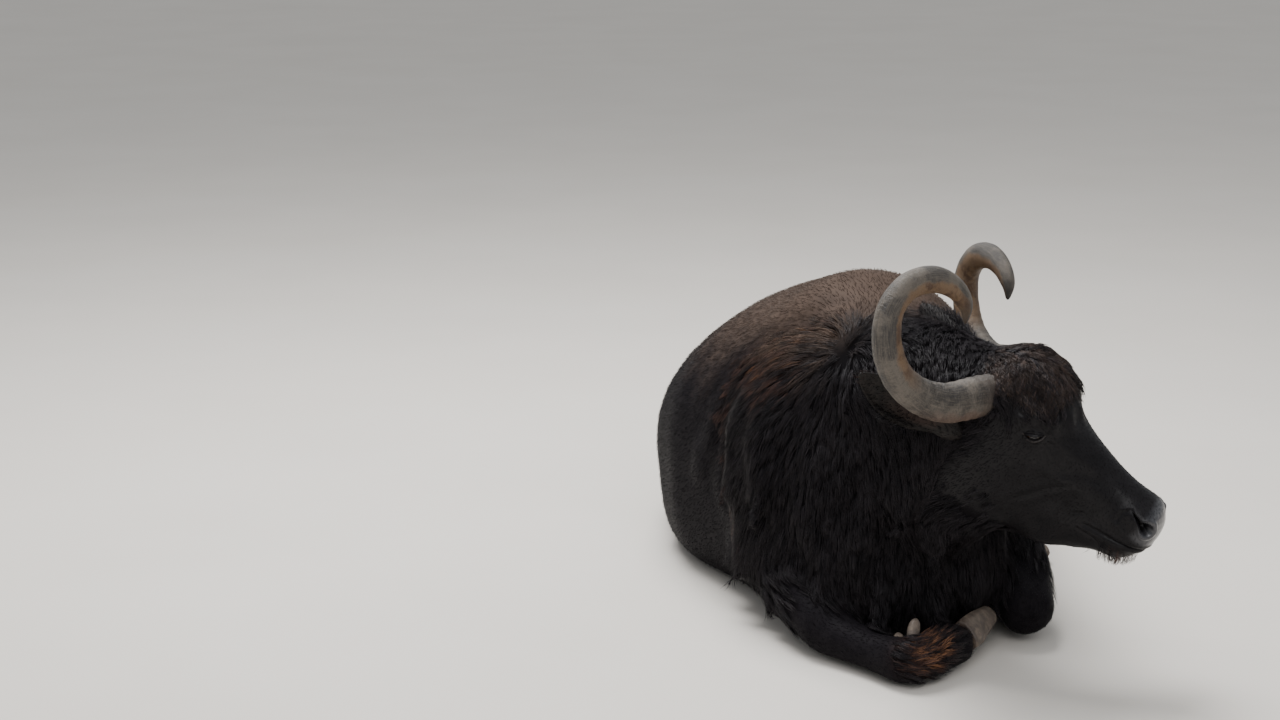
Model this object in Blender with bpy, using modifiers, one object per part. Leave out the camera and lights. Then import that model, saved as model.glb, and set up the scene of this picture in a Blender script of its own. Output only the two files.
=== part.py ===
"""A life-size water buffalo lying at rest, its head turned to its left.

The animal faces -Y, its left side is +X and the floor is Z = 0. Lengths are metres. The sizes below
are laid out from the front of the chest, and the finished animal is moved so that the middle of its
floor box stands at the origin.
"""

import math
import random

import bmesh
import bpy
from mathutils import Matrix, Vector
from mathutils.bvhtree import BVHTree

# Driving sizes
GAP = 0.0004
FLOOR = 0.0
TO_MIDDLE = Vector((-0.105, -0.605, 0.0))
WITHERS_HEIGHT = 0.81
HIP_HEIGHT = 0.570
BARREL_HALF_WIDTH = 0.447
VOXEL = 0.010
SOFTEN = 6
BODY_TRIANGLES = 4200
HAIRED_TRIANGLES = 6300

# Head: its middle between the horns, its turn to the left, the drop of its nose and its lean
HEAD_PLACE = Vector((0.112, -0.170, 0.626))
HEAD_TURN = math.radians(61)
HEAD_DROP = math.radians(36)
HEAD_LEAN = math.radians(9)
SKULL_HALF_WIDTH = 0.122
EYE_RADIUS = 0.021
EYE_PLACE = Vector((0.112, 0.094, 0.036))
HORN_ROOT = Vector((-0.017, 0.088, 0.030))
HORN_FLARE = {-1: math.radians(51), 1: math.radians(50)}
HORN_LEAN = {-1: math.radians(-9), 1: math.radians(-15)}
HORN_SIZE = {-1: 1.0, 1: 0.861}
HORN_BEND = {-1: (0.0, 0.0), 1: (0.136, -0.090)}
HORN_RADIUS = 0.047
EAR_ROOT = Vector((-0.020, 0.100, -0.075))
EAR_TIP = {-1: (-0.245, -0.235, -0.045), 1: (-0.245, 0.235, -0.045)}

# Locks of each kind: length, half width, thickness and how far the tip lifts off
MANE = (0.215, 0.043, 0.019, 0.010)
CREST = (0.180, 0.036, 0.018, 0.010)
CHEST = (0.200, 0.040, 0.018, 0.012)
SHAG = (0.170, 0.034, 0.017, 0.014)
FORELOCK = (0.125, 0.022, 0.014, 0.008)
THROAT = (0.110, 0.020, 0.014, 0.020)
BEARD = (0.045, 0.010, 0.008, 0.010)
FEATHER = (0.095, 0.016, 0.011, 0.010)
SWITCH_LOCK = (0.140, 0.016, 0.012, 0.010)
WHORL = Vector((0.200, 0.400, 0.680))

COAT = (0.030, 0.026, 0.026)
COAT_BACK = (0.085, 0.070, 0.062)
HORN_COLOUR = (0.30, 0.29, 0.27)
HOOF_COLOUR = (0.26, 0.21, 0.16)
EYE_COLOUR = (0.012, 0.009, 0.008)

for old in list(bpy.data.objects):
    bpy.data.objects.remove(old, do_unlink=True)

part = bpy.data.collections.new("water_buffalo")
workshop = bpy.data.collections.new("workshop")
bpy.context.scene.collection.children.link(part)
bpy.context.scene.collection.children.link(workshop)


# Finishes

def finish(name, colour, roughness):
    """A Principled material of one colour."""
    material = bpy.data.materials.new(name)
    material.use_nodes = True
    shader = material.node_tree.nodes["Principled BSDF"]
    shader.inputs["Base Color"].default_value = (*colour, 1.0)
    shader.inputs["Roughness"].default_value = roughness
    shader.inputs["Metallic"].default_value = 0.0
    return material


def add_node(name, mesh, colour, roughness):
    """Puts a finished mesh in the part's collection under its own name and material."""
    node = bpy.data.objects.new(name, mesh)
    mesh.materials.clear()
    mesh.materials.append(finish(name, colour, roughness))
    part.objects.link(node)
    return node


# Mesh helpers

def mesh_from(bm, name):
    """A mesh whose faces all point out."""
    bmesh.ops.recalc_face_normals(bm, faces=bm.faces)
    mesh = bpy.data.meshes.new(name)
    bm.to_mesh(mesh)
    bm.free()
    return mesh


def ring(centre, across, upward, half_width, rise, drop, square=2.0, sides=20, square_below=None):
    """Points round a section that may be taller above its widest line than below it, and squarer."""
    points = []
    for step in range(sides):
        angle = 2 * math.pi * step / sides
        side, up = math.cos(angle), math.sin(angle)
        power = 2 / (square if up > 0 else square_below or square)
        side = math.copysign(abs(side) ** power, side)
        up = math.copysign(abs(up) ** power, up)
        points.append(centre + across * (half_width * side) + upward * ((rise if up > 0 else drop) * up))
    return points


def loft(name, rings):
    """A closed skin over rings that all have the same number of points."""
    bm = bmesh.new()
    rows = [[bm.verts.new(point) for point in points] for points in rings]
    sides = len(rows[0])
    for near, far in zip(rows, rows[1:]):
        for k in range(sides):
            bm.faces.new((near[k], near[(k + 1) % sides], far[(k + 1) % sides], far[k]))
    for row in (rows[0], rows[-1]):
        middle = bm.verts.new(sum((vert.co for vert in row), Vector()) / sides)
        for k in range(sides):
            bm.faces.new((row[k], row[(k + 1) % sides], middle))
    return mesh_from(bm, name)


def smooth_path(points, steps):
    """Points read evenly along a Catmull-Rom curve through a few chosen ones, each with a radius."""
    points = [tuple(point) for point in points]
    padded = [points[0]] + points + [points[-1]]
    found = []
    for a, b, c, d in zip(padded, padded[1:], padded[2:], padded[3:]):
        for step in range(steps):
            t = step / steps
            found.append([
                0.5 * (2 * q + (r - p) * t + (2 * p - 5 * q + 4 * r - s) * t * t
                       + (3 * q - p - 3 * r + s) * t ** 3)
                for p, q, r, s in zip(a, b, c, d)])
    found.append(list(points[-1]))
    return found


def limb(name, points, sides=12, steps=3, cut=None):
    """A tapered round tube through points with radii, cut square to a direction at its end if given one."""
    path = smooth_path(points, steps)
    spots = [Vector(point[:3]) for point in path]
    rings = []
    for k, spot in enumerate(spots):
        ahead = (spots[min(k + 1, len(spots) - 1)] - spots[max(k - 1, 0)]).normalized()
        if cut and k == len(spots) - 1:
            ahead = cut
        side = ahead.cross(Vector((0, 0, 1)))
        side = side.normalized() if side.length > 0.2 else Vector((1, 0, 0))
        up = side.cross(ahead).normalized()
        radius = path[k][3]
        rings.append(ring(spot, side, up, radius, radius, radius, 2.0, sides))
    first, last = rings[0], rings[-1]
    start = spots[0] - (spots[1] - spots[0]).normalized() * path[0][3] * 0.55
    end = spots[-1] + (spots[-1] - spots[-2]).normalized() * path[-1][3] * 0.55
    tuck = 0.6
    rings.insert(0, [start + (point - spots[0]) * tuck for point in first])
    if not cut:
        rings.append([end + (point - spots[-1]) * tuck for point in last])
    return loft(name, rings)


def ball(name, centre, radii, turn=None, segments=20, rows=12):
    """An ellipsoid, turned about its own middle."""
    bm = bmesh.new()
    bmesh.ops.create_uvsphere(bm, u_segments=segments, v_segments=rows, radius=1.0)
    place = Matrix.Translation(centre) @ (turn or Matrix.Identity(4)) @ Matrix.Diagonal((*radii, 1.0))
    bmesh.ops.transform(bm, matrix=place, verts=bm.verts)
    return mesh_from(bm, name)


def block(name, low, high, place=None):
    """A box between two corners, in a frame of its own if one is given."""
    bm = bmesh.new()
    bmesh.ops.create_cube(bm, size=1.0)
    size = high - low
    bmesh.ops.transform(bm, matrix=(place or Matrix.Identity(4)) @ Matrix.Translation((low + high) / 2)
                        @ Matrix.Diagonal((*size, 1.0)), verts=bm.verts)
    return mesh_from(bm, name)


def grown(mesh, amount=GAP):
    """A copy whose skin stands out by a small amount, for a socket."""
    bm = bmesh.new()
    bm.from_mesh(mesh)
    bm.normal_update()
    moves = [vert.normal * (amount * vert.calc_shell_factor()) for vert in bm.verts]
    for vert, move in zip(bm.verts, moves):
        vert.co += move
    return mesh_from(bm, mesh.name + "_grown")


def largest(mesh):
    """Keeps only the closed surface that holds the most room."""
    bm = bmesh.new()
    bm.from_mesh(mesh)
    bmesh.ops.triangulate(bm, faces=bm.faces)
    unseen, shells = set(bm.faces), []
    while unseen:
        shell, front = set(), [next(iter(unseen))]
        while front:
            face = front.pop()
            if face in shell:
                continue
            shell.add(face)
            front.extend(near for edge in face.edges for near in edge.link_faces)
        unseen -= shell
        room = sum(a.co.dot(b.co.cross(c.co)) / 6 for a, b, c in (face.verts for face in shell))
        shells.append((room, len(shells), shell))
    shells.sort(key=lambda item: -item[0])
    spare = [face for room, order, shell in shells[1:] for face in shell]
    bmesh.ops.delete(bm, geom=spare, context="FACES")
    kept = bpy.data.meshes.new(mesh.name)
    bm.to_mesh(kept)
    bm.free()
    return kept


def applied(mesh, set_up):
    """The mesh after modifiers that set_up puts on it."""
    holder = bpy.data.objects.new("holder", mesh)
    workshop.objects.link(holder)
    set_up(holder)
    bpy.context.view_layer.update()
    shaped = bpy.data.meshes.new_from_object(holder.evaluated_get(bpy.context.evaluated_depsgraph_get()))
    bpy.data.objects.remove(holder, do_unlink=True)
    return shaped


def joined(operation, mesh, others):
    """One Boolean of a mesh with all the others."""
    tools = bpy.data.collections.new("tools")
    bpy.context.scene.collection.children.link(tools)
    for other in others:
        tool = bpy.data.objects.new("tool", other)
        tool.hide_render = True
        tool.display_type = "WIRE"
        tools.objects.link(tool)

    def set_up(holder):
        step = holder.modifiers.new("join", "BOOLEAN")
        step.operation = operation
        step.operand_type = "COLLECTION"
        step.collection = tools
        step.solver = "MANIFOLD"

    result = applied(mesh, set_up)
    for tool in list(tools.objects):
        bpy.data.objects.remove(tool, do_unlink=True)
    bpy.data.collections.remove(tools)
    return largest(result)


def paired(operation, mesh, other):
    """One Boolean of two meshes."""
    tool = bpy.data.objects.new("tool", other)
    tool.hide_render = True
    tool.display_type = "WIRE"
    workshop.objects.link(tool)

    def set_up(holder):
        step = holder.modifiers.new("join", "BOOLEAN")
        step.operation = operation
        step.object = tool
        step.solver = "MANIFOLD"

    result = applied(mesh, set_up)
    bpy.data.objects.remove(tool, do_unlink=True)
    return result


def flattened(mesh, angle=math.radians(1.0)):
    """A copy whose nearly flat neighbouring triangles are merged, which clears the slivers of a cut."""
    bm = bmesh.new()
    bm.from_mesh(mesh)
    bmesh.ops.dissolve_limit(bm, angle_limit=angle, verts=bm.verts, edges=bm.edges)
    bmesh.ops.triangulate(bm, faces=bm.faces)
    return largest(mesh_from(bm, mesh.name))


def thinned(mesh, triangles):
    """A copy with about as many triangles as asked, fewest where it is flat."""
    mesh.calc_loop_triangles()
    share = triangles / len(mesh.loop_triangles)

    def thin(holder):
        step = holder.modifiers.new("thin", "DECIMATE")
        step.ratio = min(1.0, share)
        step.use_collapse_triangulate = True

    return largest(applied(mesh, thin))


def blended(name, meshes, triangles, voxel=VOXEL, soften=SOFTEN):
    """One soft skin over overlapping forms."""
    bm = bmesh.new()
    for mesh in meshes:
        bm.from_mesh(mesh)
    whole = bpy.data.meshes.new(name)
    bm.to_mesh(whole)
    bm.free()

    def remesh(holder):
        step = holder.modifiers.new("blend", "REMESH")
        step.mode = "VOXEL"
        step.voxel_size = voxel
        smooth = holder.modifiers.new("soften", "SMOOTH")
        smooth.factor = 0.5
        smooth.iterations = soften

    fine = applied(whole, remesh)
    fine.name = name
    return thinned(fine, triangles)


SIDES = (("right", -1), ("left", 1))


# Head frame

def head_frame():
    """Matrix from the head's own axes: x to the nose, y to the animal's left, z to the brow."""
    turn = Matrix.Rotation(HEAD_TURN, 4, "Z") @ Matrix.Rotation(-math.pi / 2, 4, "Z")
    drop = Matrix.Rotation(HEAD_DROP, 4, "Y")
    lean = Matrix.Rotation(HEAD_LEAN, 4, "X")
    return Matrix.Translation(HEAD_PLACE) @ turn @ drop @ lean


HEAD = head_frame()
TO_NOSE = (HEAD.to_3x3() @ Vector((1, 0, 0))).normalized()
TO_LEFT = (HEAD.to_3x3() @ Vector((0, 1, 0))).normalized()
TO_BROW = (HEAD.to_3x3() @ Vector((0, 0, 1))).normalized()


def on_head(x, y, z):
    """A point given along the head's own axes."""
    return HEAD @ Vector((x, y, z))


# Trunk: distance behind the chest, sideways shift, half width, widest height, bottom, top, roll and
# how square it is below
TRUNK = (
    (-0.02, 0.00, 0.11, 0.28, 0.14, 0.42, 0, 2.4),
    (0.03, 0.00, 0.200, 0.29, -0.01, 0.56, 0, 2.6),
    (0.12, 0.00, 0.260, 0.31, -0.05, 0.69, 0, 3.0),
    (0.26, 0.00, 0.305, 0.34, -0.05, 0.77, 0, 3.0),
    (0.40, 0.00, 0.335, 0.36, -0.05, WITHERS_HEIGHT, 0, 3.0),
    (0.54, 0.01, 0.375, 0.35, -0.05, 0.765, 0, 3.3),
    (0.70, 0.02, 0.425, 0.34, -0.05, 0.720, -1, 4.0),
    (0.88, 0.045, BARREL_HALF_WIDTH, 0.31, -0.05, 0.656, -4, 4.2),
    (1.04, 0.070, 0.425, 0.29, -0.05, 0.604, -7, 4.2),
    (1.18, 0.090, 0.380, 0.28, -0.05, HIP_HEIGHT, -8, 4.0),
    (1.32, 0.110, 0.310, 0.28, -0.03, 0.510, -7, 3.4),
    (1.43, 0.125, 0.200, 0.28, 0.04, 0.425, -8, 2.8),
    (1.49, 0.130, 0.100, 0.29, 0.15, 0.365, -8, 2.4),
)

# Neck: middle, half width, rise and drop, from inside the shoulders to the back of the skull
NECK = (
    (0.00, 0.34, 0.47, 0.24, 0.30, 0.34),
    (0.01, 0.17, 0.49, 0.205, 0.265, 0.33),
    (0.035, 0.03, 0.51, 0.175, 0.235, 0.30),
    (0.075, -0.08, 0.53, 0.155, 0.205, 0.26),
    (0.125, -0.15, 0.545, 0.135, 0.175, 0.215),
    (0.180, -0.195, 0.545, 0.115, 0.140, 0.170),
)

# Skull: place towards the nose, half width, widest height, bottom and top, and squareness
SKULL = (
    (-0.080, 0.075, -0.010, -0.090, 0.060, 2.0),
    (-0.050, 0.105, 0.000, -0.140, 0.092, 2.1),
    (0.000, 0.118, 0.010, -0.180, 0.108, 2.2),
    (0.060, SKULL_HALF_WIDTH, 0.020, -0.195, 0.114, 2.2),
    (0.110, 0.116, 0.030, -0.192, 0.106, 2.2),
    (0.160, 0.098, 0.015, -0.205, 0.088, 2.2),
    (0.215, 0.080, 0.000, -0.208, 0.070, 2.2),
    (0.280, 0.066, -0.015, -0.196, 0.056, 2.2),
    (0.315, 0.063, -0.025, -0.172, 0.050, 2.3),
    (0.345, 0.063, -0.030, -0.147, 0.047, 2.4),
    (0.390, 0.068, -0.030, -0.120, 0.046, 2.5),
    (0.425, 0.067, -0.028, -0.097, 0.039, 2.4),
    (0.447, 0.052, -0.028, -0.070, 0.022, 2.2),
    (0.456, 0.028, -0.026, -0.046, 0.000, 2.0),
)


def trunk_form():
    """Chest, barrel and rump."""
    rings = []
    for y, x, half, widest, bottom, top, roll, square in TRUNK:
        turn = Matrix.Rotation(math.radians(roll), 3, "Y")
        rings.append(ring(Vector((x, y, widest)), turn @ Vector((1, 0, 0)), turn @ Vector((0, 0, 1)),
                          half, top - widest, widest - bottom, 1.96, 28, square))
    return loft("trunk", rings)


def neck_form():
    """The neck, bending to the animal's left."""
    spots = [Vector(row[:3]) for row in NECK]
    rings = []
    for k, (x, y, z, half, rise, drop) in enumerate(NECK):
        ahead = spots[min(k + 1, len(spots) - 1)] - spots[max(k - 1, 0)]
        ahead.z *= 0.5
        side = ahead.cross(Vector((0, 0, 1))).normalized()
        rings.append(ring(spots[k], side, side.cross(ahead).normalized(), half, rise, drop, 2.1, 24))
    return loft("neck", rings)


def skull_form():
    """The head without its ears and horns."""
    rings = []
    for x, half, widest, bottom, top, square in SKULL:
        rings.append(ring(on_head(x, 0, widest), TO_LEFT, TO_BROW, half, top - widest, widest - bottom,
                          square, 24))
    return loft("skull", rings)


def face_forms():
    """Brows, cheeks, nose wings and chin that swell the skull."""
    forms = []
    turn = HEAD.to_3x3().to_4x4()
    for side in (-1, 1):
        forms.append(ball("brow", on_head(0.098, 0.088 * side, 0.066), (0.050, 0.028, 0.024), turn))
        forms.append(ball("cheek", on_head(0.060, 0.078 * side, -0.085), (0.085, 0.045, 0.080), turn))
        forms.append(ball("nose_wing", on_head(0.412, 0.040 * side, 0.008), (0.032, 0.028, 0.030), turn))
        forms.append(ball("lip", on_head(0.375, 0.040 * side, -0.050), (0.060, 0.030, 0.028), turn))
    forms.append(ball("chin", on_head(0.395, 0.0, -0.088), (0.048, 0.044, 0.032), turn))
    forms.append(ball("throat", on_head(0.200, 0.0, -0.140), (0.130, 0.058, 0.086), turn))
    forms.append(ball("forelock", on_head(0.035, 0.0, 0.085), (0.090, 0.085, 0.052), turn))
    return forms


def body_forms():
    """Every form that blends into the trunk, neck and head."""
    forms = [trunk_form(), neck_form(), skull_form()] + face_forms()
    for side in (-1, 1):
        forms.append(ball("shoulder", Vector((0.215 * side, 0.30, 0.42)), (0.115, 0.17, 0.26),
                          Matrix.Rotation(math.radians(-12 * side), 4, "Y")))
        forms.append(ball("elbow", Vector((0.245 * side, 0.30, 0.20)), (0.095, 0.16, 0.16)))
    forms.append(ball("hook_right", Vector((-0.160, 1.11, 0.405)), (0.085, 0.11, 0.080)))
    forms.append(ball("hook_left", Vector((0.275, 1.11, 0.485)), (0.085, 0.11, 0.075)))
    forms.append(ball("brisket", Vector((0.01, 0.07, 0.17)), (0.21, 0.13, 0.19)))
    return forms


# Legs: joints with their radii, from the body to the foot
FORELEG = {
    "right": {
        "forearm": ((-0.215, 0.32, 0.190, 0.088), (-0.228, 0.17, 0.135, 0.080),
                    (-0.215, 0.06, 0.090, 0.067), (-0.200, 0.00, 0.073, 0.067)),
        "cannon": ((-0.205, 0.005, 0.062, 0.058), (-0.160, -0.080, 0.054, 0.047),
                   (-0.122, -0.145, 0.052, 0.046), (-0.086, -0.205, 0.054, 0.057)),
        "foot": ((-0.092, -0.212, 0.053, 0.053), (-0.030, -0.190, 0.053, 0.049),
                 (0.028, -0.145, 0.054, 0.051), (0.068, -0.112, 0.054, 0.052)),
        "toe": (0.180, -0.010, 0.044),
        "back": (-0.40, 0.57, 0.72),
    },
    "left": {
        "forearm": ((0.275, 0.32, 0.200, 0.088), (0.292, 0.18, 0.165, 0.078), (0.286, 0.06, 0.112, 0.067),
                    (0.265, -0.012, 0.075, 0.068)),
        "cannon": ((0.268, 0.010, 0.058, 0.050), (0.292, 0.090, 0.048, 0.045), (0.312, 0.165, 0.047, 0.044),
                   (0.326, 0.235, 0.053, 0.053)),
        "foot": ((0.326, 0.235, 0.053, 0.050), (0.345, 0.290, 0.050, 0.046), (0.357, 0.338, 0.050, 0.048),
                 (0.362, 0.370, 0.050, 0.050)),
        "toe": (0.368, 0.490, 0.036),
        "back": (0.30, 0.10, 0.95),
    },
}
HINDLEG = {
    "right": {
        "thigh": ((-0.100, 1.27, 0.290, 0.150), (-0.165, 1.13, 0.235, 0.160), (-0.225, 1.00, 0.180, 0.142),
                  (-0.248, 0.92, 0.150, 0.108)),
        "shank": ((-0.255, 0.960, 0.105, 0.098), (-0.250, 1.10, 0.085, 0.084), (-0.195, 1.25, 0.075, 0.066),
                  (-0.125, 1.370, 0.068, 0.060)),
        "cannon": ((0.150, 1.060, 0.048, 0.046), (0.240, 0.950, 0.048, 0.045), (0.325, 0.850, 0.050, 0.046),
                   (0.395, 0.765, 0.054, 0.055)),
        "foot": ((0.395, 0.765, 0.054, 0.053), (0.430, 0.715, 0.050, 0.047), (0.455, 0.670, 0.049, 0.048),
                 (0.465, 0.635, 0.048, 0.050)),
        "toe": (0.485, 0.515, 0.034),
        "back": (0.75, 0.40, 0.55),
    },
    "left": {
        "thigh": ((0.245, 1.26, 0.380, 0.150), (0.330, 1.13, 0.325, 0.160), (0.405, 1.00, 0.260, 0.138),
                  (0.440, 0.930, 0.215, 0.106)),
        "shank": ((0.440, 0.950, 0.185, 0.098), (0.470, 1.09, 0.140, 0.083), (0.480, 1.25, 0.100, 0.066),
                  (0.470, 1.385, 0.074, 0.061)),
        "cannon": ((0.472, 1.380, 0.068, 0.058), (0.505, 1.29, 0.052, 0.046), (0.535, 1.18, 0.050, 0.045),
                   (0.552, 1.085, 0.054, 0.055)),
        "foot": ((0.552, 1.090, 0.054, 0.053), (0.560, 1.030, 0.050, 0.047), (0.564, 0.985, 0.049, 0.048),
                 (0.564, 0.955, 0.048, 0.050)),
        "toe": (0.558, 0.830, 0.034),
        "back": (-0.55, 0.00, 0.84),
    },
}
TAIL = ((0.120, 1.445, 0.385, 0.034), (0.135, 1.505, 0.320, 0.030), (0.150, 1.540, 0.205, 0.027),
        (0.160, 1.560, 0.100, 0.024), (0.200, 1.580, 0.034, 0.021), (0.290, 1.575, 0.027, 0.019),
        (0.380, 1.540, 0.025, 0.018))
SWITCH = ((0.360, 1.550, 0.027, 0.016), (0.430, 1.515, 0.031, 0.030), (0.510, 1.480, 0.029, 0.030),
          (0.590, 1.450, 0.016, 0.010))


def foot_frame(leg):
    """Where the claws grow: the foot's end, the way to the toe, the way to the heel and across."""
    root = Vector(leg["foot"][-1][:3])
    ahead = (Vector(leg["toe"]) - root).normalized()
    heel = Vector(leg["back"])
    heel = (heel - ahead * heel.dot(ahead)).normalized()
    return root, ahead, heel, ahead.cross(heel).normalized()


def claw(name, leg, side):
    """One of a foot's two claws: squarish in section, wider at the sole, its toe turned up."""
    root, ahead, heel, across = foot_frame(leg)
    reach = (Vector(leg["toe"]) - root).length
    rings = []
    for along, half, rise, drop, shift in (
            (GAP, 0.0205, 0.036, 0.036, 0.000),
            (0.035, 0.0225, 0.036, 0.039, 0.003), (0.070, 0.0215, 0.028, 0.038, 0.007),
            (reach - 0.020, 0.0165, 0.014, 0.034, 0.012), (reach, 0.009, 0.004, 0.022, 0.016)):
        middle = root + ahead * along + across * (side * 0.0245) + heel * shift
        rings.append(ring(middle, across, -heel, half, rise, drop, 2.6, 10))
    return loft(name, rings)


def dewclaw(name, leg, side):
    """A small horny nub behind the fetlock."""
    root, ahead, heel, across = foot_frame(leg)
    joint = Vector(leg["foot"][0][:3])
    along = (root - joint).normalized()
    out = (heel - along * heel.dot(along)).normalized()
    sideways = along.cross(out).normalized()
    start = joint + along * 0.042 + out * (leg["foot"][0][3] - 0.016) + sideways * (side * 0.023)
    way = (out * 0.9 + along * 0.75 + sideways * (side * 0.25)).normalized()
    rings = []
    for reach, radius in ((0.0, 0.013), (0.020, 0.0145), (0.036, 0.0125), (0.046, 0.006)):
        rings.append(ring(start + way * reach, sideways, way.cross(sideways).normalized(),
                          radius, radius, radius, 2.2, 8))
    return loft(name, rings)


# Horn: places in the plane of its curl, outwards and upwards from its root, and its radius there
HORN_CURL = (
    (-0.030, -0.004, 0.93), (0.036, 0.005, 0.93), (0.111, 0.017, 0.88), (0.178, 0.054, 0.79),
    (0.227, 0.110, 0.72), (0.246, 0.183, 0.69), (0.229, 0.252, 0.64), (0.177, 0.289, 0.62),
    (0.111, 0.287, 0.60), (0.058, 0.255, 0.51), (0.031, 0.210, 0.42), (0.034, 0.171, 0.20),
)


def horn(name, side):
    """A horn that sweeps back and out from the poll and curls up and over, oval in section."""
    level = Vector((TO_NOSE.x, TO_NOSE.y, 0)).normalized()
    left = Vector((-level.y, level.x, 0))
    flare, lean = HORN_FLARE[side], HORN_LEAN[side]
    outward = (-level * math.cos(flare) + left * (side * math.sin(flare))).normalized()
    outward = (outward * math.cos(lean) + Vector((0, 0, 1)) * math.sin(lean)).normalized()
    upward = (Vector((0, 0, 1)) - outward * outward.z).normalized()
    base = on_head(HORN_ROOT.x, HORN_ROOT.y * side, HORN_ROOT.z)
    path = smooth_path(HORN_CURL, 2)
    flat = outward.cross(upward).normalized()
    bend, back = HORN_BEND[side]
    spots = []
    for k, p in enumerate(path):
        share = k / (len(path) - 1)
        spots.append(base + (outward * p[0] + upward * p[1] + flat * (bend * share + back * share ** 2))
                     * HORN_SIZE[side])
    rings = []
    for k, spot in enumerate(spots):
        ahead = (spots[min(k + 1, len(spots) - 1)] - spots[max(k - 1, 0)]).normalized()
        thick = flat.cross(ahead).normalized()
        radius = HORN_RADIUS * path[k][2]
        rings.append(ring(spot, thick, flat, radius, radius * 0.84, radius * 0.84, 2.3, 10))
    return loft(name, rings)


def ear_frame(side):
    """The ear's root, the way to its tip, the way its cup opens and across."""
    root = on_head(EAR_ROOT.x, EAR_ROOT.y * side, EAR_ROOT.z)
    tip = on_head(*EAR_TIP[side])
    along = (tip - root).normalized()
    opening = TO_NOSE * 0.75 - TO_BROW * 0.25 + TO_LEFT * (side * 0.5)
    opening = (opening - along * opening.dot(along)).normalized()
    return root, tip, along, opening, along.cross(opening).normalized()


# Ear, from root to tip: share of its length, half width, depth, hollowness and bow
EAR_SHAPE = (
    (-0.06, 0.026, 0.026, 0.00, 0.000), (0.05, 0.030, 0.028, 0.00, 0.000), (0.14, 0.040, 0.030, 0.35, 0.000),
    (0.30, 0.056, 0.032, 0.72, 0.004), (0.50, 0.062, 0.028, 0.78, 0.006), (0.70, 0.052, 0.022, 0.76, 0.004),
    (0.87, 0.032, 0.015, 0.70, 0.000), (0.97, 0.014, 0.008, 0.45, -0.004), (1.00, 0.006, 0.004, 0.00, -0.006),
)


def ear(name, side):
    """A long ear: a round stalk that opens into a hollow leaf."""
    root, tip, along, opening, across = ear_frame(side)
    reach = (tip - root).length
    rings = []
    for t, half, deep, wall, bow in EAR_SHAPE:
        middle = root + along * (reach * t) + opening * bow
        points = []
        for step in range(9):
            angle = math.pi * step / 8
            points.append(middle + across * (half * math.cos(angle)) - opening * (deep * math.sin(angle)))
        for step in range(1, 6):
            angle = math.pi * (1 - step / 6)
            inner = half * (1 - 0.12 * min(1.0, wall * 2))
            points.append(middle + across * (inner * math.cos(angle))
                          - opening * (deep * (wall * 1.75 - 0.75) * math.sin(angle)))
        rings.append(points)
    return loft(name, rings)


def eyeball(name, side, radius):
    """A round eye set in the head."""
    return ball(name, on_head(EYE_PLACE.x, EYE_PLACE.y * side, EYE_PLACE.z), (radius,) * 3, None, 12, 8)


def above_floor(mesh):
    """Cuts away what lies below the floor, which leaves the flats that the animal rests on."""
    room = block("room", Vector((-2, -2, FLOOR)), Vector((2, 3, 2)))
    return largest(paired("INTERSECT", mesh, room))


# Details of the face

def lids(side):
    """The lids that stand round an eye, and the slit between them."""
    place = Vector((EYE_PLACE.x, EYE_PLACE.y * side, EYE_PLACE.z))
    turn = HEAD.to_3x3().to_4x4()
    cover_size = (EYE_RADIUS + 0.013, EYE_RADIUS + 0.0042, EYE_RADIUS + 0.0036)
    cover = ball("lids", HEAD @ place, cover_size, turn, 14, 10)
    slant = turn @ Matrix.Rotation(math.radians(-30), 4, "Y")
    slit_place = HEAD @ (place + Vector((0, 0.022 * side, -0.003)))
    slit = ball("slit", slit_place, (0.0265, 0.020, 0.0042), slant, 14, 8)
    return cover, slit


def nostril(surface, side):
    """A comma-shaped nostril: a round front and a tail that curls back and up."""
    turn = HEAD.to_3x3().to_4x4()
    holes = []
    for x, y, z, radii, slant in ((0.426, 0.052, 0.004, (0.017, 0.017, 0.0105), -38),
                                  (0.405, 0.066, 0.013, (0.014, 0.010, 0.0050), 18)):
        spot = surface.find_nearest(on_head(x, y * side, z))[0]
        tilt = turn @ Matrix.Rotation(math.radians(slant), 4, "Y")
        holes.append(ball("nostril", spot, radii, tilt, 10, 6))
    return holes


def mouth(surface):
    """The groove between the lips, from one corner round the front of the muzzle to the other."""
    half = ((0.455, 0.022, -0.047), (0.430, 0.060, -0.051), (0.375, 0.080, -0.058), (0.318, 0.085, -0.062))
    points = [(x, -y, z) for x, y, z in reversed(half)] + list(half)
    spots = [surface.find_nearest(on_head(*point))[0] for point in points]
    return limb("mouth", [(*spot, 0.0042) for spot in spots], 6, 1)


# Locks: place along the lock, half width, thickness above and depth below, as shares
LOCK_SHAPE = (
    (0.00, 0.60, 0.05, 1.0), (0.30, 1.00, 0.90, 0.8), (0.68, 0.86, 1.00, 0.5), (1.00, 0.10, 0.25, 0.2),
)


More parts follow.
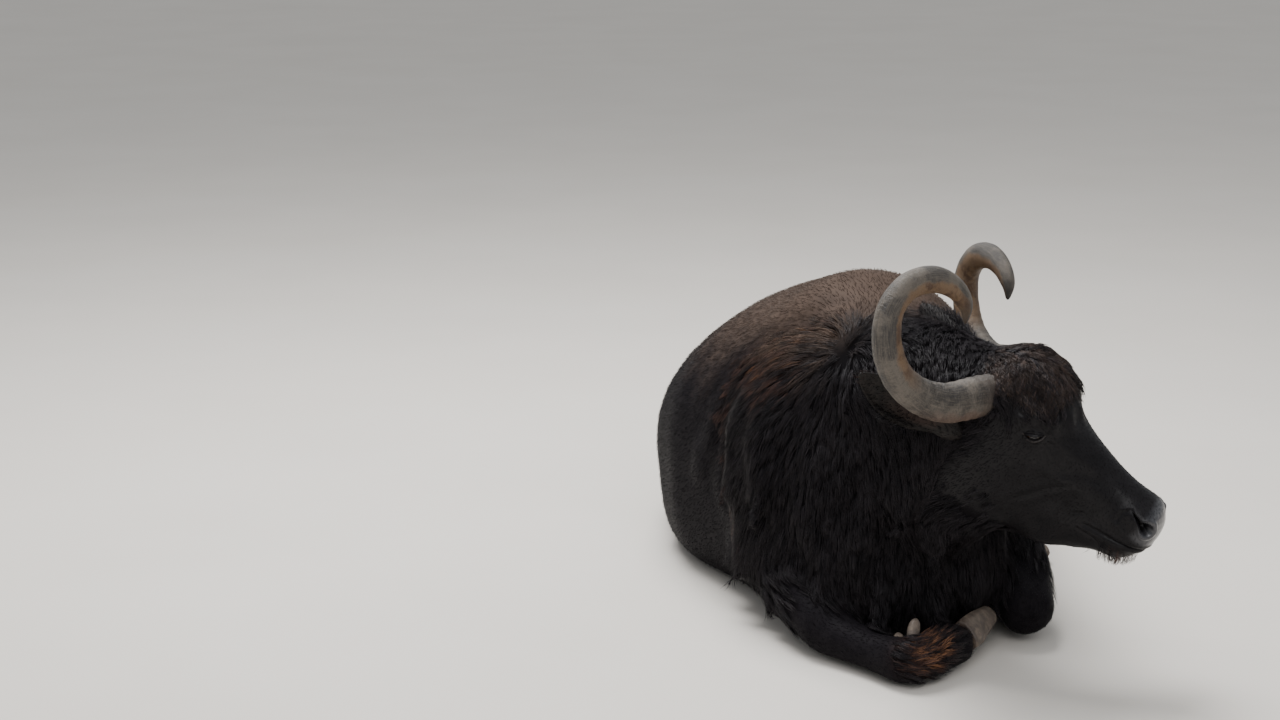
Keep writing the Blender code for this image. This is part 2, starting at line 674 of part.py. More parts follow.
def lock(surface, root, way, kind, free, sway):
    """A flat tapered lock whose root is sunk in a surface, and which lies along it or hangs free."""
    length, half, thick, lift = kind
    spot, out, face, distance = surface.find_nearest(root)
    way = (way - out * way.dot(out)).normalized()
    rings = []
    done = 0.0
    for share, wide, above, below in LOCK_SHAPE:
        step = (share - done) * length
        done = share
        if step:
            spot = spot + way * step
            if free < share:
                spot, out, face, distance = surface.find_nearest(spot)
            else:
                way = (way + Vector((0, 0, -0.55))).normalized()
            out = (out - way * out.dot(way)).normalized()
            way = (Matrix.Rotation(sway * share, 3, out) @ (way - out * way.dot(out))).normalized()
        across = out.cross(way).normalized()
        middle = spot + out * (lift * share ** 2 - 0.010 * (1 - share) ** 2)
        rings.append([middle + across * (half * wide), middle + out * (thick * above),
                      middle - across * (half * wide), middle - out * (thick * below)])
    return loft("lock", rings)


def on_face(point):
    """Whether a point is on the head, forward of the ears."""
    x, y, z = HEAD.inverted() @ point
    return x > -0.045 and abs(y) < 0.15 and z > -0.225


def body_lie(point):
    """How the coat lies: down and back, and away from a whorl high on each shoulder."""
    centre = Vector((math.copysign(WHORL.x, point.x), WHORL.y, WHORL.z))
    away = point - centre
    back = max(-0.1, min(0.9, (point.y - 0.05) * 2.2))
    way = Vector((0.0, back, -1.0)).normalized()
    if away.length < 0.4:
        way += away.normalized() * (1.2 * (1 - away.length / 0.4))
    return way


def body_locks(surface, rng):
    """The long coat of the neck, chest and shoulders, and the shag above the elbows."""
    locks = []

    def grow(origin, direction, kind, way=None):
        """Roots one lock where a ray from outside meets the coat."""
        spot, out, face, distance = surface.ray_cast(origin, direction)
        if spot is None or on_face(spot):
            return
        way = way or body_lie(spot)
        scale = rng.uniform(0.88, 1.12)
        sized = (kind[0] * scale, kind[1] * rng.uniform(0.9, 1.1), kind[2], kind[3])
        locks.append(lock(surface, spot, way, sized, 1.1, rng.uniform(-0.30, 0.30)))

    for side in (-1, 1):
        inward = Vector((-side, 0, 0))
        for row, (z, last) in enumerate(((0.70, 0.46), (0.57, 0.54), (0.44, 0.50), (0.31, 0.37))):
            for column in range(6):
                y = -0.02 + 0.098 * (column + 0.5 * (row % 2)) + rng.uniform(-0.012, 0.012)
                if y < last:
                    grow(Vector((1.5 * side, y, z)), inward, MANE)
        for y in (0.15, 0.24, 0.33):
            grow(Vector((1.5 * side, y, 0.20)), inward, SHAG)
    for row, z in enumerate((0.50, 0.36, 0.22)):
        for column in range(4):
            x = -0.19 + 0.105 * (column + 0.5 * (row % 2))
            grow(Vector((x, -1.5, z)), Vector((0, 1, 0)), CHEST)
    for side in (-1, 1):
        for y, x in ((0.32, 0.00), (0.22, 0.01), (0.12, 0.02), (0.03, 0.04), (-0.05, 0.07)):
            grow(Vector((x + 0.045 * side, y, 1.5)), Vector((0, 0, -1)), CREST, Vector((side, 0.25, -0.3)))
    return locks


def head_locks(surface, rng):
    """The mop between the horns, the hair of the throat and the bristles of the chin."""
    locks = []
    for row, x in enumerate((-0.055, -0.015, 0.025, 0.062)):
        for column in range(4):
            y = (column - 1.5) * 0.036 + 0.009 * (row % 2 * 2 - 1)
            root = on_head(x, y, 0.25)
            spot, out, face, distance = surface.ray_cast(root, -TO_BROW)
            way = TO_NOSE + TO_LEFT * (y * 7 + 0.25)
            sized = (FORELOCK[0] * rng.uniform(0.85, 1.15),) + FORELOCK[1:]
            locks.append(lock(surface, spot, way, sized, 1.1, rng.uniform(-0.5, 0.5)))
    for x, y in ((-0.02, -0.06), (0.03, -0.04), (0.03, 0.04), (0.08, -0.02), (0.08, 0.05)):
        way = TO_NOSE * 0.2 - TO_BROW
        locks.append(lock(surface, on_head(x, y, -0.22), way, THROAT, 0.3, rng.uniform(-0.2, 0.2)))
    for x, y in ((0.405, -0.022), (0.405, 0.022), (0.375, -0.014), (0.375, 0.016), (0.345, 0.0)):
        way = TO_NOSE * 0.3 - TO_BROW + TO_LEFT * y * 10
        locks.append(lock(surface, on_head(x, y, -0.14), way, BEARD, 0.1, 0.0))
    return locks


def foot_locks(surface, leg, count, rng):
    """The feather that falls from the back of the fetlock over the foot."""
    root, ahead, heel, across = foot_frame(leg)
    joint = Vector(leg["foot"][0][:3])
    along = (root - joint).normalized()
    locks = []
    for k in range(count):
        lean = (k - (count - 1) / 2) * (1.9 / count)
        out = (heel * math.cos(lean) + across * math.sin(lean)).normalized()
        start = joint + along * (0.010 + 0.028 * (k % 2)) + out * 0.06
        locks.append(lock(surface, start, along + out * 0.2, FEATHER, 0.75, rng.uniform(-0.25, 0.25)))
    return locks


def switch_locks(surface, rng):
    """The hair at the end of the tail."""
    locks = []
    for k in range(6):
        start = Vector(SWITCH[0][:3]).lerp(Vector(SWITCH[2][:3]), 0.1 + 0.8 * (k // 2) / 2.0)
        side = Vector((0.45, 0.89, 0.0)) * (1 if k % 2 else -1)
        way = Vector(SWITCH[3][:3]) - Vector(SWITCH[0][:3])
        root = start + side * 0.03 + Vector((0, 0, 0.03))
        locks.append(lock(surface, root, way.normalized() + side * 0.25, SWITCH_LOCK, 0.5, 0.2 * side.x))
    return locks


def tree(mesh):
    """A mesh in a form that rays and nearest points can be asked of."""
    corners = [vert.co for vert in mesh.vertices]
    return BVHTree.FromPolygons(corners, [tuple(face.vertices) for face in mesh.polygons])


# The smooth skin, and room round it for what stands on it
rng = random.Random(7)
skin = blended("body", body_forms(), BODY_TRIANGLES)
body_room = grown(skin, 2 * GAP)
keep_off = grown(skin)
skin_tree = tree(skin)
solids = {}
holes = []

# Each leg, cut clear of the body and of the segment above it
all_legs = {f"foreleg_{side}": leg for side, leg in FORELEG.items()}
all_legs.update({f"hindleg_{side}": leg for side, leg in HINDLEG.items()})
FEATHERED = {"foreleg_right": 6, "hindleg_left": 4}
for name, leg in all_legs.items():
    above = []
    hoofs = [above_floor(claw("claw", leg, side)) for side in (-1, 1)]
    nubs = [above_floor(dewclaw("dewclaw", leg, side)) for side in (-1, 1)]
    holes += [joined("DIFFERENCE", grown(mesh), [keep_off]) for mesh in hoofs + nubs]
    for segment in ("thigh", "shank", "forearm", "cannon", "foot"):
        if segment in leg:
            cut = foot_frame(leg)[1] if segment == "foot" else None
            mesh = above_floor(limb(segment, leg[segment], 10, 2, cut))
            haired = mesh
            if segment == "foot" and name in FEATHERED:
                haired = joined("UNION", mesh, foot_locks(tree(mesh), leg, FEATHERED[name], rng))
                haired = above_floor(thinned(haired, 150 + 35 * FEATHERED[name]))
                clear = [grown(hoof) for hoof in hoofs]
                clear += [joined("DIFFERENCE", grown(nub), [grown(mesh)]) for nub in nubs]
                haired = joined("DIFFERENCE", haired, clear)
            solids[f"{name}_{segment}"] = flattened(joined("DIFFERENCE", haired, above + [body_room]))
            above.append(grown(mesh, 2 * GAP))
            holes.append(joined("DIFFERENCE", grown(haired), [keep_off]))
    for count in (1, 2):
        solids[f"{name}_claw_{count}"] = flattened(joined("DIFFERENCE", hoofs[count - 1], [body_room]))
        nub = joined("DIFFERENCE", nubs[count - 1], above + [body_room])
        solids[f"{name}_dewclaw_{count}"] = flattened(nub)

# Tail, horns, ears and eyes
tail = joined("DIFFERENCE", above_floor(limb("tail", TAIL, 10, 2)), [body_room])
solids["tail"] = tail
switch = limb("tail_switch", SWITCH, 8, 2)
switch = above_floor(thinned(joined("UNION", switch, switch_locks(tree(switch), rng)), 380))
solids["tail_switch"] = joined("DIFFERENCE", switch, [grown(tail)])
for side_name, side in SIDES:
    horn_mesh, ear_mesh, eye = horn("horn", side), ear("ear", side), eyeball("eye", side, EYE_RADIUS)
    solids[f"horn_{side_name}"] = joined("DIFFERENCE", horn_mesh, [body_room])
    solids[f"ear_{side_name}"] = joined("DIFFERENCE", ear_mesh, [body_room, grown(horn_mesh)])
    solids[f"eye_{side_name}"] = eye
    holes += [joined("DIFFERENCE", grown(mesh), [keep_off]) for mesh in (horn_mesh, ear_mesh)]
    holes.append(grown(eye))

# The body with its lids and locks, rested on the floor, cut clear of all that stands on it
covers, slits = zip(*(lids(side) for side in (-1, 1)))
locks = body_locks(skin_tree, rng) + head_locks(skin_tree, rng)
whole = above_floor(thinned(joined("UNION", skin, list(covers) + locks), HAIRED_TRIANGLES))
holes += list(slits)
for side in (-1, 1):
    holes += nostril(skin_tree, side)
holes.append(mouth(skin_tree))
whole = flattened(joined("DIFFERENCE", whole, holes))

# The body parted by thin cuts
HEAD_CUT = HEAD @ Matrix.Translation((-0.030, 0, -0.02)) @ Matrix.Rotation(math.radians(-14), 4, "Y")
NECK_CUT = (Matrix.Translation((0, 0.02, 0.3)) @ Matrix.Rotation(math.radians(-24), 4, "X")
            @ Matrix.Translation((0, 0, -0.3)))
cells = (
    ("head", block("cell", Vector((0, -0.16, -0.27)), Vector((0.7, 0.15, 0.19)), HEAD_CUT)),
    ("neck", block("cell", Vector((-0.6, -0.9, -0.1)), Vector((0.6, 0.10, 1.2)), NECK_CUT)),
    ("forequarters", block("cell", Vector((-1, -1, -1)), Vector((1, 0.57, 2)))),
    ("torso", block("cell", Vector((-1, -1, -1)), Vector((1, 1.02, 2)))),
)
rest = whole
for node, cell in cells:
    solids[node] = flattened(largest(paired("INTERSECT", rest, cell)))
    rest = largest(paired("DIFFERENCE", rest, grown(cell)))
solids["hindquarters"] = flattened(rest)

total = 0
for node, mesh in solids.items():
    mesh.transform(Matrix.Translation(TO_MIDDLE))
    colour = COAT
    if node.startswith("horn"):
        colour = HORN_COLOUR
    elif "claw" in node:
        colour = HOOF_COLOUR
    elif node.startswith("eye"):
        colour = EYE_COLOUR
    elif node in ("torso", "hindquarters"):
        colour = COAT_BACK
    add_node(node, mesh, colour, 0.35 if node.startswith(("horn", "eye")) else 0.8)
    total += len(mesh.polygons)
print("nodes", len(solids), "triangles", total)
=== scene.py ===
# %% [markdown]
# A water buffalo lies at rest on the ground with its head turned to its left. The imported solids give
# its true size, pose and outline, and this lesson dresses them: one skin for all the flesh, horns with
# growth rings, hooves, eyes, and a coat of many small tufts that is long and shaggy in front and short
# behind. The first cell loads the solids and sets each one's placement into its mesh.

# %% Loading the solids
import math
import random

import bmesh
import bpy
import numpy as np
from mathutils import Matrix, Vector
from mathutils.bvhtree import BVHTree
from mathutils.kdtree import KDTree


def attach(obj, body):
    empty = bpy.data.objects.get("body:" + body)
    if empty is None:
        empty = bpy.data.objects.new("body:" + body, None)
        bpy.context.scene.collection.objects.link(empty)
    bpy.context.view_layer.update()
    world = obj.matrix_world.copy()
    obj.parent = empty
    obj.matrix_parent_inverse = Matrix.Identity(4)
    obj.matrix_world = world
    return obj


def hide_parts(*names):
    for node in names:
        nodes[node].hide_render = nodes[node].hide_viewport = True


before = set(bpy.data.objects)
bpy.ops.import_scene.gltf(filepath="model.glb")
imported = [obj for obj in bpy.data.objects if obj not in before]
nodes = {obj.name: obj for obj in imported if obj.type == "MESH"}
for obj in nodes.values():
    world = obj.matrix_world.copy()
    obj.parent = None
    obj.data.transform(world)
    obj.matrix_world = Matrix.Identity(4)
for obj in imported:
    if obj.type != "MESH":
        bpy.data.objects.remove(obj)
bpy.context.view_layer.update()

# %% [markdown]
# Most places on this animal are easiest to give from the front of its chest, or along its own head:
# x towards the nose, y to its left, z towards the brow. The chest is one point on the floor, and the
# head's axes are a turn to the left, a drop of the nose and a slight lean. Arrays of points are carried
# into the head's axes with one matrix product, so that a whole skin can be shaped at once.

# %% Axes of the chest and the head
CHEST = Vector((-0.105, -0.605, 0.0))
HEAD_PLACE = Vector((0.112, -0.170, 0.626))
HEAD_TURN = math.radians(61 - 90)
HEAD_DROP = math.radians(36)
HEAD_LEAN = math.radians(9)
EYE_RADIUS = 0.021
EYE_PLACE = Vector((0.112, 0.094, 0.036))
SIDES = (("right", -1), ("left", 1))

head_place = (Matrix.Translation(CHEST + HEAD_PLACE) @ Matrix.Rotation(HEAD_TURN, 4, "Z")
              @ Matrix.Rotation(HEAD_DROP, 4, "Y") @ Matrix.Rotation(HEAD_LEAN, 4, "X"))
to_nose, to_left, to_brow = (head_place.to_3x3() @ axis for axis in Matrix.Identity(3))


def on_head(x, y, z):
    """A point given along the head's own axes."""
    return head_place @ Vector((x, y, z))


def along_head(points):
    """Points of the model, carried into the head's own axes."""
    back = np.array(head_place.inverted())
    return points @ back[:3, :3].T + back[:3, 3]


def smooth_step(values, start, end):
    """Rises softly from 0 at start to 1 at end."""
    t = np.clip((values - start) / (end - start), 0.0, 1.0)
    return t * t * (3 - 2 * t)


def normal_of(ways):
    """Directions of length 1."""
    return ways / np.maximum(np.linalg.norm(ways, axis=-1, keepdims=True), 1e-9)


print("head at", tuple(round(v, 3) for v in on_head(0, 0, 0)))

# %% [markdown]
# The camera comes next, because every later choice is judged through it. It stands in front of the
# animal's right shoulder at about a person's height, looks down a little, and keeps the animal in the
# right half of the picture. The lens is given by where the foot of the chest should fall in the frame.

# %% Camera
CAMERA_TURN = math.radians(12.0)
CAMERA_DROP = math.radians(13.2)
CAMERA_REACH = 5.61
LENS, SENSOR_WIDTH = 70.0, 36.0
CHEST_RIGHT, CHEST_BELOW = 0.1093, 0.1165

level = Vector((math.sin(CAMERA_TURN), math.cos(CAMERA_TURN), 0))
right = Vector((math.cos(CAMERA_TURN), -math.sin(CAMERA_TURN), 0))
ahead = level * math.cos(CAMERA_DROP) - Vector((0, 0, math.sin(CAMERA_DROP)))
above = level * math.sin(CAMERA_DROP) + Vector((0, 0, math.cos(CAMERA_DROP)))
camera_data = bpy.data.cameras.new("camera")
camera_data.lens = LENS
camera_data.sensor_width = SENSOR_WIDTH
camera = bpy.data.objects.new("camera", camera_data)
bpy.context.scene.collection.objects.link(camera)
place = Matrix((right, above, -ahead)).transposed().to_4x4()
place.translation = CHEST - (ahead + right * CHEST_RIGHT - above * CHEST_BELOW) * CAMERA_REACH
camera.matrix_world = place
bpy.context.scene.camera = camera
print("camera height", round(place.translation.z, 2))

# %% [markdown]
# Shader maths reads best as ordinary arithmetic. A Wire wraps one socket and turns +, - and * into Math
# nodes, also where the plain number comes first, as in 1 - mask. A Graph makes any other node from its
# type, its settings and what feeds it.

# %% Shader helpers


class Wire:
    """One output socket that can be added, subtracted and scaled like a number."""

    def __init__(self, graph, socket):
        self.graph = graph
        self.socket = socket

    def join(self, operation, first, second):
        """A Math node of two values."""
        return self.graph.node("ShaderNodeMath", {"operation": operation}, {0: first, 1: second})

    def __add__(self, other):
        return self.join("ADD", self, other)

    def __radd__(self, other):
        return self.join("ADD", other, self)

    def __sub__(self, other):
        return self.join("SUBTRACT", self, other)

    def __rsub__(self, other):
        return self.join("SUBTRACT", other, self)

    def __mul__(self, other):
        return self.join("MULTIPLY", self, other)

    def __rmul__(self, other):
        return self.join("MULTIPLY", other, self)


class Graph:
    """A material's nodes, with the Principled shader ready to be fed."""

    def __init__(self, name, **fixed):
        self.material = bpy.data.materials.new(name)
        self.material.use_nodes = True
        self.tree = self.material.node_tree
        self.shader = self.tree.nodes["Principled BSDF"]
        for socket, value in fixed.items():
            self.shader.inputs[socket.replace("_", " ")].default_value = value

    def node(self, kind, settings, feeds, output=0):
        """Any node: its settings first, then values or wires for its sockets."""
        made = self.tree.nodes.new(kind)
        for name, value in settings.items():
            setattr(made, name, value)
        for socket, value in feeds.items():
            if isinstance(value, Wire):
                self.tree.links.new(value.socket, made.inputs[socket])
            else:
                made.inputs[socket].default_value = value
        return Wire(self, made.outputs[output])

    def place(self):
        """Where a point lies in the model."""
        return self.node("ShaderNodeTexCoord", {}, {}, "Object")

    def read(self, name):
        """A number kept on the mesh."""
        return self.node("ShaderNodeAttribute", {"attribute_name": name}, {}, "Fac")

    def noise(self, scale, detail=3.0, rough=0.55, where=None):
        """Soft random values from 0 to 1."""
        feeds = {"Vector": where or self.place(), "Scale": scale, "Detail": detail, "Roughness": rough}
        return self.node("ShaderNodeTexNoise", {}, feeds)

    def stretched(self, x, y, z, where=None):
        """Coordinates scaled along each axis."""
        return self.node("ShaderNodeMapping", {}, {"Vector": where or self.place(), "Scale": (x, y, z)})

    def level(self, value, low, high):
        """Spreads low..high over 0..1 with soft ends."""
        feeds = {"Value": value, "From Min": low, "From Max": high}
        return self.node("ShaderNodeMapRange", {"interpolation_type": "SMOOTHSTEP"}, feeds)

    def mix(self, share, first, second):
        """One colour into another by a share."""
        feeds = {0: share, 6: colour(first), 7: colour(second)}
        return self.node("ShaderNodeMix", {"data_type": "RGBA"}, feeds, 2)

    def bump(self, height, strength, distance):
        """Turns a height into a shading normal."""
        feeds = {"Height": height, "Strength": strength, "Distance": distance}
        return self.node("ShaderNodeBump", {}, feeds)

    def feed(self, **wires):
        """Links wires to the shader's sockets."""
        for socket, value in wires.items():
            self.tree.links.new(value.socket, self.shader.inputs[socket.replace("_", " ")])
        return self.material


def colour(value):
    """A colour with its alpha, or a wire as it is."""
    return value if isinstance(value, Wire) else (*value, 1.0)


print("shader helpers ready")

# %% [markdown]
# All flesh is one skin. The solids already have the right form, but they are coarse and parted by thin
# cuts. Swelling each copy by a hair, joining them and remeshing with small voxels melts the cuts away,
# and smoothing combs the carved locks down to soft swellings that the tufts will cover. The smoothing
# is gentler on the face and feet, whose forms must stay.

# %% Joining the solids into one skin
VOXEL, SWELL, SOFT_ROUNDS = 0.0121, 0.0015, 3
FLESH = [name for name in sorted(nodes) if not name.startswith(("horn", "eye", "ear")) and "claw" not in name]


def linked(name, mesh):
    """An object in the scene that holds a mesh."""
    piece = bpy.data.objects.new(name, mesh)
    bpy.context.scene.collection.objects.link(piece)
    return piece


def baked(piece):
    """Replaces a piece's mesh by what its modifiers make of it."""
    bpy.context.view_layer.update()
    shaped = bpy.data.meshes.new_from_object(piece.evaluated_get(bpy.context.evaluated_depsgraph_get()))
    piece.modifiers.clear()
    piece.data = shaped
    return piece


def soft_copy(name, members, voxel, swell, rounds):
    """One smooth closed skin over swollen copies of some solids."""
    whole = bmesh.new()
    for member in members:
        single = bmesh.new()
        single.from_mesh(nodes[member].data)
        bmesh.ops.remove_doubles(single, verts=single.verts, dist=0.00001)
        single.normal_update()
        for vert, normal in [(vert, vert.normal.copy()) for vert in single.verts]:
            vert.co += normal * swell
        part = bpy.data.meshes.new(member)
        single.to_mesh(part)
        single.free()
        whole.from_mesh(part)
    mesh = bpy.data.meshes.new(name)
    whole.to_mesh(mesh)
    whole.free()
    piece = linked(name, mesh)
    melt = piece.modifiers.new("melt", "REMESH")
    melt.mode = "VOXEL"
    melt.voxel_size = voxel
    soften = piece.modifiers.new("soften", "SMOOTH")
    soften.factor = 0.5
    soften.iterations = rounds
    return baked(piece)


def points_of(mesh):
    """All the places of a mesh as rows of an array."""
    flat = np.empty(len(mesh.vertices) * 3, np.float32)
    mesh.vertices.foreach_get("co", flat)
    return flat.reshape(-1, 3).astype(float)


def normals_of(mesh):
    """All the outward directions of a mesh's places."""
    flat = np.empty(len(mesh.vertices) * 3, np.float32)
    mesh.vertex_normals.foreach_get("vector", flat)
    return flat.reshape(-1, 3).astype(float)


def move_points(mesh, points):
    """Puts a mesh's places where an array says."""
    mesh.vertices.foreach_set("co", points.astype(np.float32).ravel())
    mesh.update()


skin = soft_copy("skin", FLESH, VOXEL, SWELL, SOFT_ROUNDS)
print("skin faces", len(skin.data.polygons))

# %% [markdown]
# Some work follows the skin from place to place: smoothing only where hair will lie, and carrying the
# lie of the coat from one region into the next. A small function averages any value kept on the places
# with that of their neighbours, and can hold back wherever a weight says so.

# %% Averaging over neighbours


def edges_of(mesh):
    """The two ends of each edge."""
    flat = np.empty(len(mesh.edges) * 2, np.int32)
    mesh.edges.foreach_get("vertices", flat)
    return flat.reshape(-1, 2)


def averaged(values, edges, rounds, weight=None):
    """Values moved towards the mean of their neighbours, round after round."""
    size = len(values)
    ends, others = edges.T.ravel(), edges[:, ::-1].T.ravel()
    count = np.maximum(np.bincount(ends, minlength=size), 1)[:, None]
    share = 0.5 if weight is None else 0.5 * weight[:, None]
    for _ in range(rounds):
        total = np.column_stack([np.bincount(ends, column[others], size) for column in values.T])
        values = values + share * (total / count - values)
    return values


def face_share(points):
    """1 on the face and 0 behind the ears, from places along the head."""
    x, y, z = points.T
    return smooth_step(x, -0.03, 0.05) * smooth_step(z, -0.24, -0.18) * smooth_step(-abs(y), -0.17, -0.14)


def nearest_solid(points):
    """The name of the solid that each place belongs to."""
    corners, faces, tags = [], [], []
    for name in FLESH:
        start = len(corners)
        mesh = nodes[name].data
        corners.extend(points_of(mesh).tolist())
        faces.extend([[start + corner for corner in face.vertices] for face in mesh.polygons])
        tags.extend([name] * len(mesh.polygons))
    tree = BVHTree.FromPolygons(corners, faces)
    return np.array([tags[tree.find_nearest(point)[2]] for point in points.tolist()])


TRUNK = ("neck", "forequarters", "torso", "hindquarters", "head")
LEAST_COMBED = 0.05
LOCK_RELIEF = 0.006
EASE_ROUNDS, CALM_ROUNDS, EVEN_ROUNDS = 6, 64, 2
points, edges = points_of(skin.data), edges_of(skin.data)
hairy = np.isin(nearest_solid(points), TRUNK) * (1 - face_share(along_head(points)))
hairy = hairy * (1 - LEAST_COMBED) + LEAST_COMBED
points = averaged(points, edges, EASE_ROUNDS, hairy)
calm = averaged(points, edges, CALM_ROUNDS, hairy)
relief = points - calm
relief *= np.minimum(1, LOCK_RELIEF / np.maximum(np.linalg.norm(relief, axis=1, keepdims=True), 1e-9))
points = np.where(hairy[:, None] > 0.5, calm + relief, points)
move_points(skin.data, averaged(points, edges, EVEN_ROUNDS))
print("combed", len(points), "places")

# %% [markdown]
# The face needs far smaller faces than the barrel. Only the faces in front of the ears are divided, and
# again round the eyes, nostrils and mouth, so that the whole skin stays one mesh of a fair size.

# %% Finer faces on the head


def finer(mesh, wanted):
    """Divides the faces whose middle passes a test, once."""
    bm = bmesh.new()
    bm.from_mesh(mesh)
    middles = np.array([face.calc_center_median() for face in bm.faces])
    chosen = wanted(along_head(middles))
    edges = {edge for face, passes in zip(bm.faces, chosen) if passes for edge in face.edges}
    bmesh.ops.subdivide_edges(bm, edges=list(edges), cuts=1, use_grid_fill=True, smooth=0.0)
    bmesh.ops.triangulate(bm, faces=[face for face in bm.faces if len(face.verts) > 4])
    bm.to_mesh(mesh)
    bm.free()


def near_eye(places, reach, depth):
    """Places within reach of either eye, and off the middle of the head."""
    x, y, z = places.T
    return (np.hypot(x - EYE_PLACE.x, z - EYE_PLACE.z) < reach) & (abs(y) > depth)


def is_face(places):
    """In front of the ears."""
    x, y, z = places.T
    return (x > -0.02) & (abs(y) < 0.16) & (z > -0.22) & (z < 0.16)


def is_detail(places):
    """The sockets of the eyes, and the muzzle."""
    return is_face(places) & (near_eye(places, 0.055, 0.05) | (places[:, 0] > 0.28))


def is_fine_detail(places):
    """The lids and the nostrils."""
    x, y, z = places.T
    nostrils = (x > 0.375) & (abs(y) > 0.02) & (abs(z) < 0.06)
    return is_face(places) & (near_eye(places, 0.040, 0.06) | nostrils)


for wanted in (is_face, is_detail, is_fine_detail):
    finer(skin.data, wanted)
move_points(skin.data, averaged(points_of(skin.data), edges_of(skin.data), EVEN_ROUNDS))
print("skin faces", len(skin.data.polygons))

# %% [markdown]
# The skin lies under the coat, so it sinks a little wherever long hair will stand on it. Then the face
# is shaped: each swelling or hollow is a soft hill round a place on the head, added along the outward
# direction. Lines such as the mouth and the folds of the lids are distances to a short path.

# %% Sinking the skin and shaping the face


def hill(places, centre, reach):
    """A soft hill of height 1, on both sides of the head."""
    gap = np.column_stack((places[:, 0], abs(places[:, 1]), places[:, 2])) - np.array(centre)
    return np.exp(-((gap / np.array(reach)) ** 2).sum(axis=1))


def ridge(gap, width):
    """A soft ridge of height 1 along the places where a distance is 0."""
    return np.exp(-(gap / width) ** 2)


def line_gap(places, path):
    """Distance to a path drawn on the side of the head, in x and z only."""
    best = np.full(len(places), 9.0)
    flat = places[:, [0, 2]]
    for start, end in zip(path, path[1:]):
        start, end = np.array(start), np.array(end)
        way = end - start
        t = np.clip(((flat - start) @ way) / (way @ way), 0, 1)
        best = np.minimum(best, np.linalg.norm(flat - start - t[:, None] * way, axis=1))
    return best


SKIN_SINK = 0.003
MOUTH = ((0.470, -0.044), (0.446, -0.047), (0.405, -0.055), (0.350, -0.066), (0.318, -0.076))
CHEEK_FOLD = ((0.235, -0.020), (0.200, -0.065), (0.165, -0.120))
FACE_HILLS = {  # a middle along the head, a reach each way, and a height
    "brow ridge": ((0.096, 0.086, 0.074), (0.046, 0.030, 0.014), 0.0085),
    "tear hollow": ((0.150, 0.080, 0.028), (0.026, 0.030, 0.016), -0.0055),
    "jaw muscle": ((0.060, 0.110, -0.070), (0.070, 0.050, 0.070), 0.0075),
    "cheekbone": ((0.205, 0.075, -0.018), (0.080, 0.030, 0.012), 0.0060),
    "hollow of the cheek": ((0.265, 0.060, -0.070), (0.050, 0.040, 0.024), -0.0070),
    "hollow beside the nose": ((0.235, 0.055, 0.020), (0.065, 0.022, 0.014), -0.0055),
    "wing of the nostril": ((0.398, 0.062, 0.012), (0.028, 0.026, 0.022), 0.0075),
    "upper lip": ((0.385, 0.062, -0.030), (0.046, 0.030, 0.012), 0.0035),
    "lower lip": ((0.385, 0.055, -0.078), (0.050, 0.030, 0.012), 0.0030),
    "bridge of the nose": ((0.300, 0.000, 0.060), (0.110, 0.022, 0.030), 0.0020),
    "dip of the forehead": ((0.035, 0.000, 0.115), (0.090, 0.070, 0.050), -0.0100),
    "lower jaw": ((0.215, 0.066, -0.105), (0.070, 0.030, 0.030), 0.0030),
}
FOLDS = (  # two before the eye, two over it, behind the nostril, two round the mouth, and over the eye again
    ((0.158, 0.012), (0.176, -0.002), (0.190, -0.022)), ((0.152, 0.040), (0.180, 0.034), (0.205, 0.018)),
    ((0.070, 0.074), (0.100, 0.080), (0.132, 0.072)), ((0.080, 0.086), (0.106, 0.091), (0.130, 0.084)),
    ((0.372, 0.016), (0.360, 0.000), (0.362, -0.020)), ((0.300, -0.056), (0.284, -0.074), (0.280, -0.098)),
    ((0.310, -0.094), (0.350, -0.088), (0.392, -0.086)), ((0.060, 0.060), (0.080, 0.064), (0.096, 0.062)),
)


def shape_face(mesh):
    """Sinks the skin under the coat and adds the forms of the face."""
    points, outward = points_of(mesh), normals_of(mesh)
    places = along_head(points)
    x, y, z = places.T
    face = face_share(places)
    long_hair = (1 - smooth_step(points[:, 1] - CHEST.y, 0.42, 0.60)) * smooth_step(points[:, 2], 0.08, 0.18)
    sink = SKIN_SINK + SKIN_SINK * long_hair * (1 - face)
    sink *= 1 - 0.9 * face
    points -= outward * sink[:, None]
    rise = np.zeros(len(points))
    for centre, reach, height in FACE_HILLS.values():
        rise += hill(places, centre, reach) * height
    lips = line_gap(places, MOUTH)
    rise -= (0.0016 + 0.0040 * smooth_step(x, 0.300, 0.420)) * ridge(lips, 0.0026)
    rise += 0.0020 * ridge(lips - 0.0095, 0.0055) * smooth_step(abs(y), 0.004, 0.012)
    for path in FOLDS:
        fold = line_gap(places, path)
        rise += 0.0010 * ridge(fold - 0.0075, 0.0050) - 0.0013 * ridge(fold, 0.0036)
    cheek = line_gap(places, CHEEK_FOLD)
    rise += 0.0022 * (ridge(cheek - 0.012, 0.010) - ridge(cheek, 0.006))
    cleft = (x > 0.42) * ridge(y, 0.0025) * smooth_step(z, -0.045, -0.03)
    rise -= 0.0025 * cleft * smooth_step(-z, -0.02, 0.0)
    points += outward * (rise * face)[:, None]
    move_points(mesh, points)


shape_face(skin.data)
print("face shaped")

# %% [markdown]
# The nostrils are commas: a round front that opens forwards and out, and a tail that curls up and back
# over the wing of the nose. The eye is nearly shut. The skin round it is laid over the eyeball, a slit
# between the lids is pressed back behind the ball, and the lid edges and folds are raised beside it.

